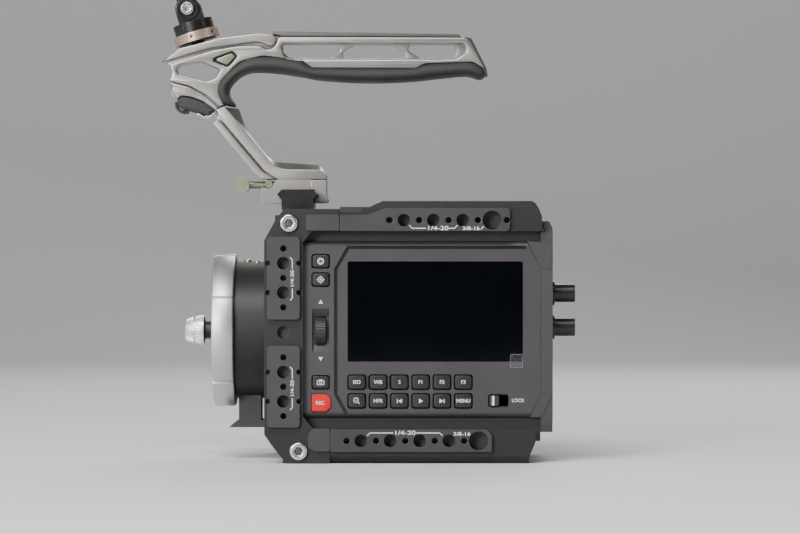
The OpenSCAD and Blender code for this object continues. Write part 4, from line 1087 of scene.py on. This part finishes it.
def make_frame_screws():
    """The four button-head screws that tie the cage's columns to its plates."""
    a = low("frame_screws")
    b = high("frame_screws")
    pieces = []
    for k, (x, z) in enumerate(((a.x + HEAD_R, b.z - HEAD_R), (b.x - HEAD_R, a.z + HEAD_R))):
        for side in (-1, 1):
            pieces += frame_screw("%d_%d" % (k, side), x, z, side, -a.y)
    screws = join("frame_screws_made", pieces)
    place(screws, "rig", "frame_screws", slot="screw_steel")


def make_pivot_washers():
    """A dished black washer under each head of the tilt screw."""
    centre = middle("pivot_screw")
    head_height = 3.2
    face = high("pivot_screw").y - head_height
    dish = [(0.02, 3.4), (0.02, 6.3), (0.3, 6.35), (0.75, 6.1), (0.8, 5.7), (0.4, 5.2), (0.35, 3.6)]
    profile = [(face + height, radius) for height, radius in dish]
    for side in (-1, 1):
        washer = spun("pivot_washer_%d" % (side + 1), on_side(profile, side), along_y(centre.x, 0, centre.z),
                      "head", 48)
        place(washer, BODY_OF["mount_yoke"], slot="mount_head_black")


def make_lock_slider():
    a = low("lock_switch")
    b = high("lock_switch")
    mid = middle("lock_switch")
    width = 4.9
    height = 5.3
    body = plate("lock_body", [rectangle(mid.x, mid.z, width, height, 0.5)], a.y + 0.5, b.y - 0.4, 0.2,
                 "wheel")
    place(body, BODY_OF["lock_switch"], "lock_switch", slot="wheel_black")
    bar = plate("lock_stripe", [rectangle(mid.x - 0.5, mid.z, 1.25, height - 0.4, 0.3)], a.y, a.y + 1, 0.25,
                "legend")
    place(bar, BODY_OF["lock_switch"], slot="switch_grey")


# Lens side ----------------------------------------------------------------------------------------------

def make_index_pins():
    top = high("mount_pins").z
    dome = [(-2, 0), (-2, 2), (0.6, 2), (1.1, 1.7), (1.4, 1), (1.5, 0)]
    brass = spun("index_pin", dome, upright(-80.2, 0, top - 1.5), "brass", 40)
    place(brass, BODY_OF["mount_pins"], "mount_pins", slot="pin_brass")
    stop = [(-2, 0), (-2, 1.5), (0.1, 1.5), (0.5, 1.2), (0.6, 0)]
    pin = spun("stop_pin", stop, upright(-75, -5, top - 1.7), "steel", 40)
    place(pin, BODY_OF["mount_pins"])


def make_locking_ring():
    """The turned ring with rounded rims and, three times round, two grip notches."""
    b = high("locking_ring")
    depth = b.x - low("locking_ring").x
    outer = 40.0
    inner = 33.05
    segments = 720
    cut = 1.4
    ramp = 0.6
    # Each notch's middle and half width in degrees
    notches = ((25, 1.2), (78.9, 1.1))
    profile = [(0.2, inner), (0, inner + 0.4), (0, outer - 1.1), (0.3, outer - 0.4), (1, outer),
               (depth - 1, outer), (depth - 0.3, outer - 0.4), (depth, outer - 1.1), (depth, inner + 0.3),
               (depth - 0.2, inner), (0.2, inner)]

    def notch(k, height):
        angle = (k * 360 / segments) % 120
        deepest = 0
        for centre, half in notches:
            deepest = max(deepest, cut * min(1, (half + ramp - abs(angle - centre)) / ramp))
        return -deepest

    axis = along_x(b.x, 0, AXIS_Z) @ Matrix.Rotation(math.radians(-90), 4, "Z")
    ring_piece = spun("ring_made", profile, axis, "ring", segments, notch)
    place(ring_piece, BODY_OF["locking_ring"], "locking_ring", slot="ring_silver")


def make_cap_knob():
    """The knob in the middle of the cap: two ridged cones with a groove between them."""
    profile = [(0, 0), (0, 5.4), (0.7, 7.6), (2.4, 7.7), (4.9, 7.2), (5.2, 6.7), (5.7, 6.7), (6, 7), (9.6, 6),
               (10.3, 5.4), (10.6, 4.6), (10.6, 2.4), (9.9, 2.2), (9.9, 0)]
    ridges = 48
    per = 6

    def ripple(k, height):
        if 0.6 < height < 5 or 5.9 < height < 9.8:
            return -0.22 if k % per in (0, 1) else 0
        return 0

    start = high("cap_knob").x
    knob = spun("knob_made", profile, along_x(start, 0, AXIS_Z), "knob", ridges * per, ripple)
    place(knob, BODY_OF["cap_knob"], "cap_knob", slot="knob_bright")


# Stage --------------------------------------------------------------------------------------------------

def make_stage():
    """A pale floor that curves up into a pale backdrop; points are (depth, height)."""
    bend = 900
    back = 2600
    rise = 2600
    half = 6000
    profile = [(-5200, 0), (back - bend, 0)]
    profile += [(back - bend + bend * math.sin(a), bend - bend * math.cos(a))
                for a in (math.pi / 2 * k / 16 for k in range(1, 17))]
    profile.append((back, rise + 2000))
    verts = [(x, y, z) for y, z in profile for x in (-half, half)]
    faces = [(2 * k, 2 * k + 1, 2 * k + 3, 2 * k + 2) for k in range(len(profile) - 1)]
    floor = mesh_piece("floor", verts, faces, "stage")
    smooth(floor)


# Name, place in metres, width and height in metres, power in watts
SOFTBOXES = [
    ("key_softbox", (-1.0, -1.75, 0.62), (0.7, 0.6), 34),
    ("top_softbox", (-0.35, -1.0, 1.4), (0.9, 0.5), 26),
    ("side_softbox", (-1.5, -0.2, 0.6), (0.5, 0.8), 7),
    ("right_softbox", (1.4, -0.8, 0.6), (0.4, 0.8), 3),
    ("back_softbox", (0.5, 1.3, 1.1), (1.2, 0.5), 14)]


def make_lights():
    centre = Vector((0, 0, 0.12))
    for name, spot, size, power in SOFTBOXES:
        data = bpy.data.lights.new(name, "AREA")
        data.shape = "RECTANGLE"
        data.size, data.size_y = size
        data.energy = power
        light = show(name, data)
        light.location = spot
        light.rotation_euler = (centre - Vector(spot)).to_track_quat("-Z", "Y").to_euler()
    world = bpy.data.worlds.new("studio")
    world.use_nodes = True
    background = world.node_tree.nodes["Background"]
    background.inputs[0].default_value = (0.85, 0.87, 0.9, 1)
    background.inputs[1].default_value = 0.14
    bpy.context.scene.world = world


def make_camera():
    """A long lens level with the middle of the body, looking straight at the display side."""
    height = 100.7
    distance = 1700
    side_face = -56
    scale_on_side_face = 0.51
    image_width = 800
    sensor = 36
    data = bpy.data.cameras.new("camera")
    data.sensor_width = sensor
    data.lens = sensor * distance / (scale_on_side_face * image_width)
    data.clip_start = 0.05
    camera = show("camera", data)
    camera.location = (0, (side_face - distance) * MM, height * MM)
    camera.rotation_euler = (math.pi / 2, 0, 0)
    bpy.context.scene.camera = camera


STEPS = (make_camera, make_lights, make_stage, finish_kept_nodes, make_keys, make_handle_frame, make_grip,
         make_head_lower, make_arm, make_column_marks, make_bar_marks, make_panel_marks, make_lock_slider,
         make_index_pins, make_panel_groove_shade, make_frame_screws, make_pivot_washers, make_end_shade_trim,
         make_locking_ring, make_cap_knob)

for step in STEPS:
    step()
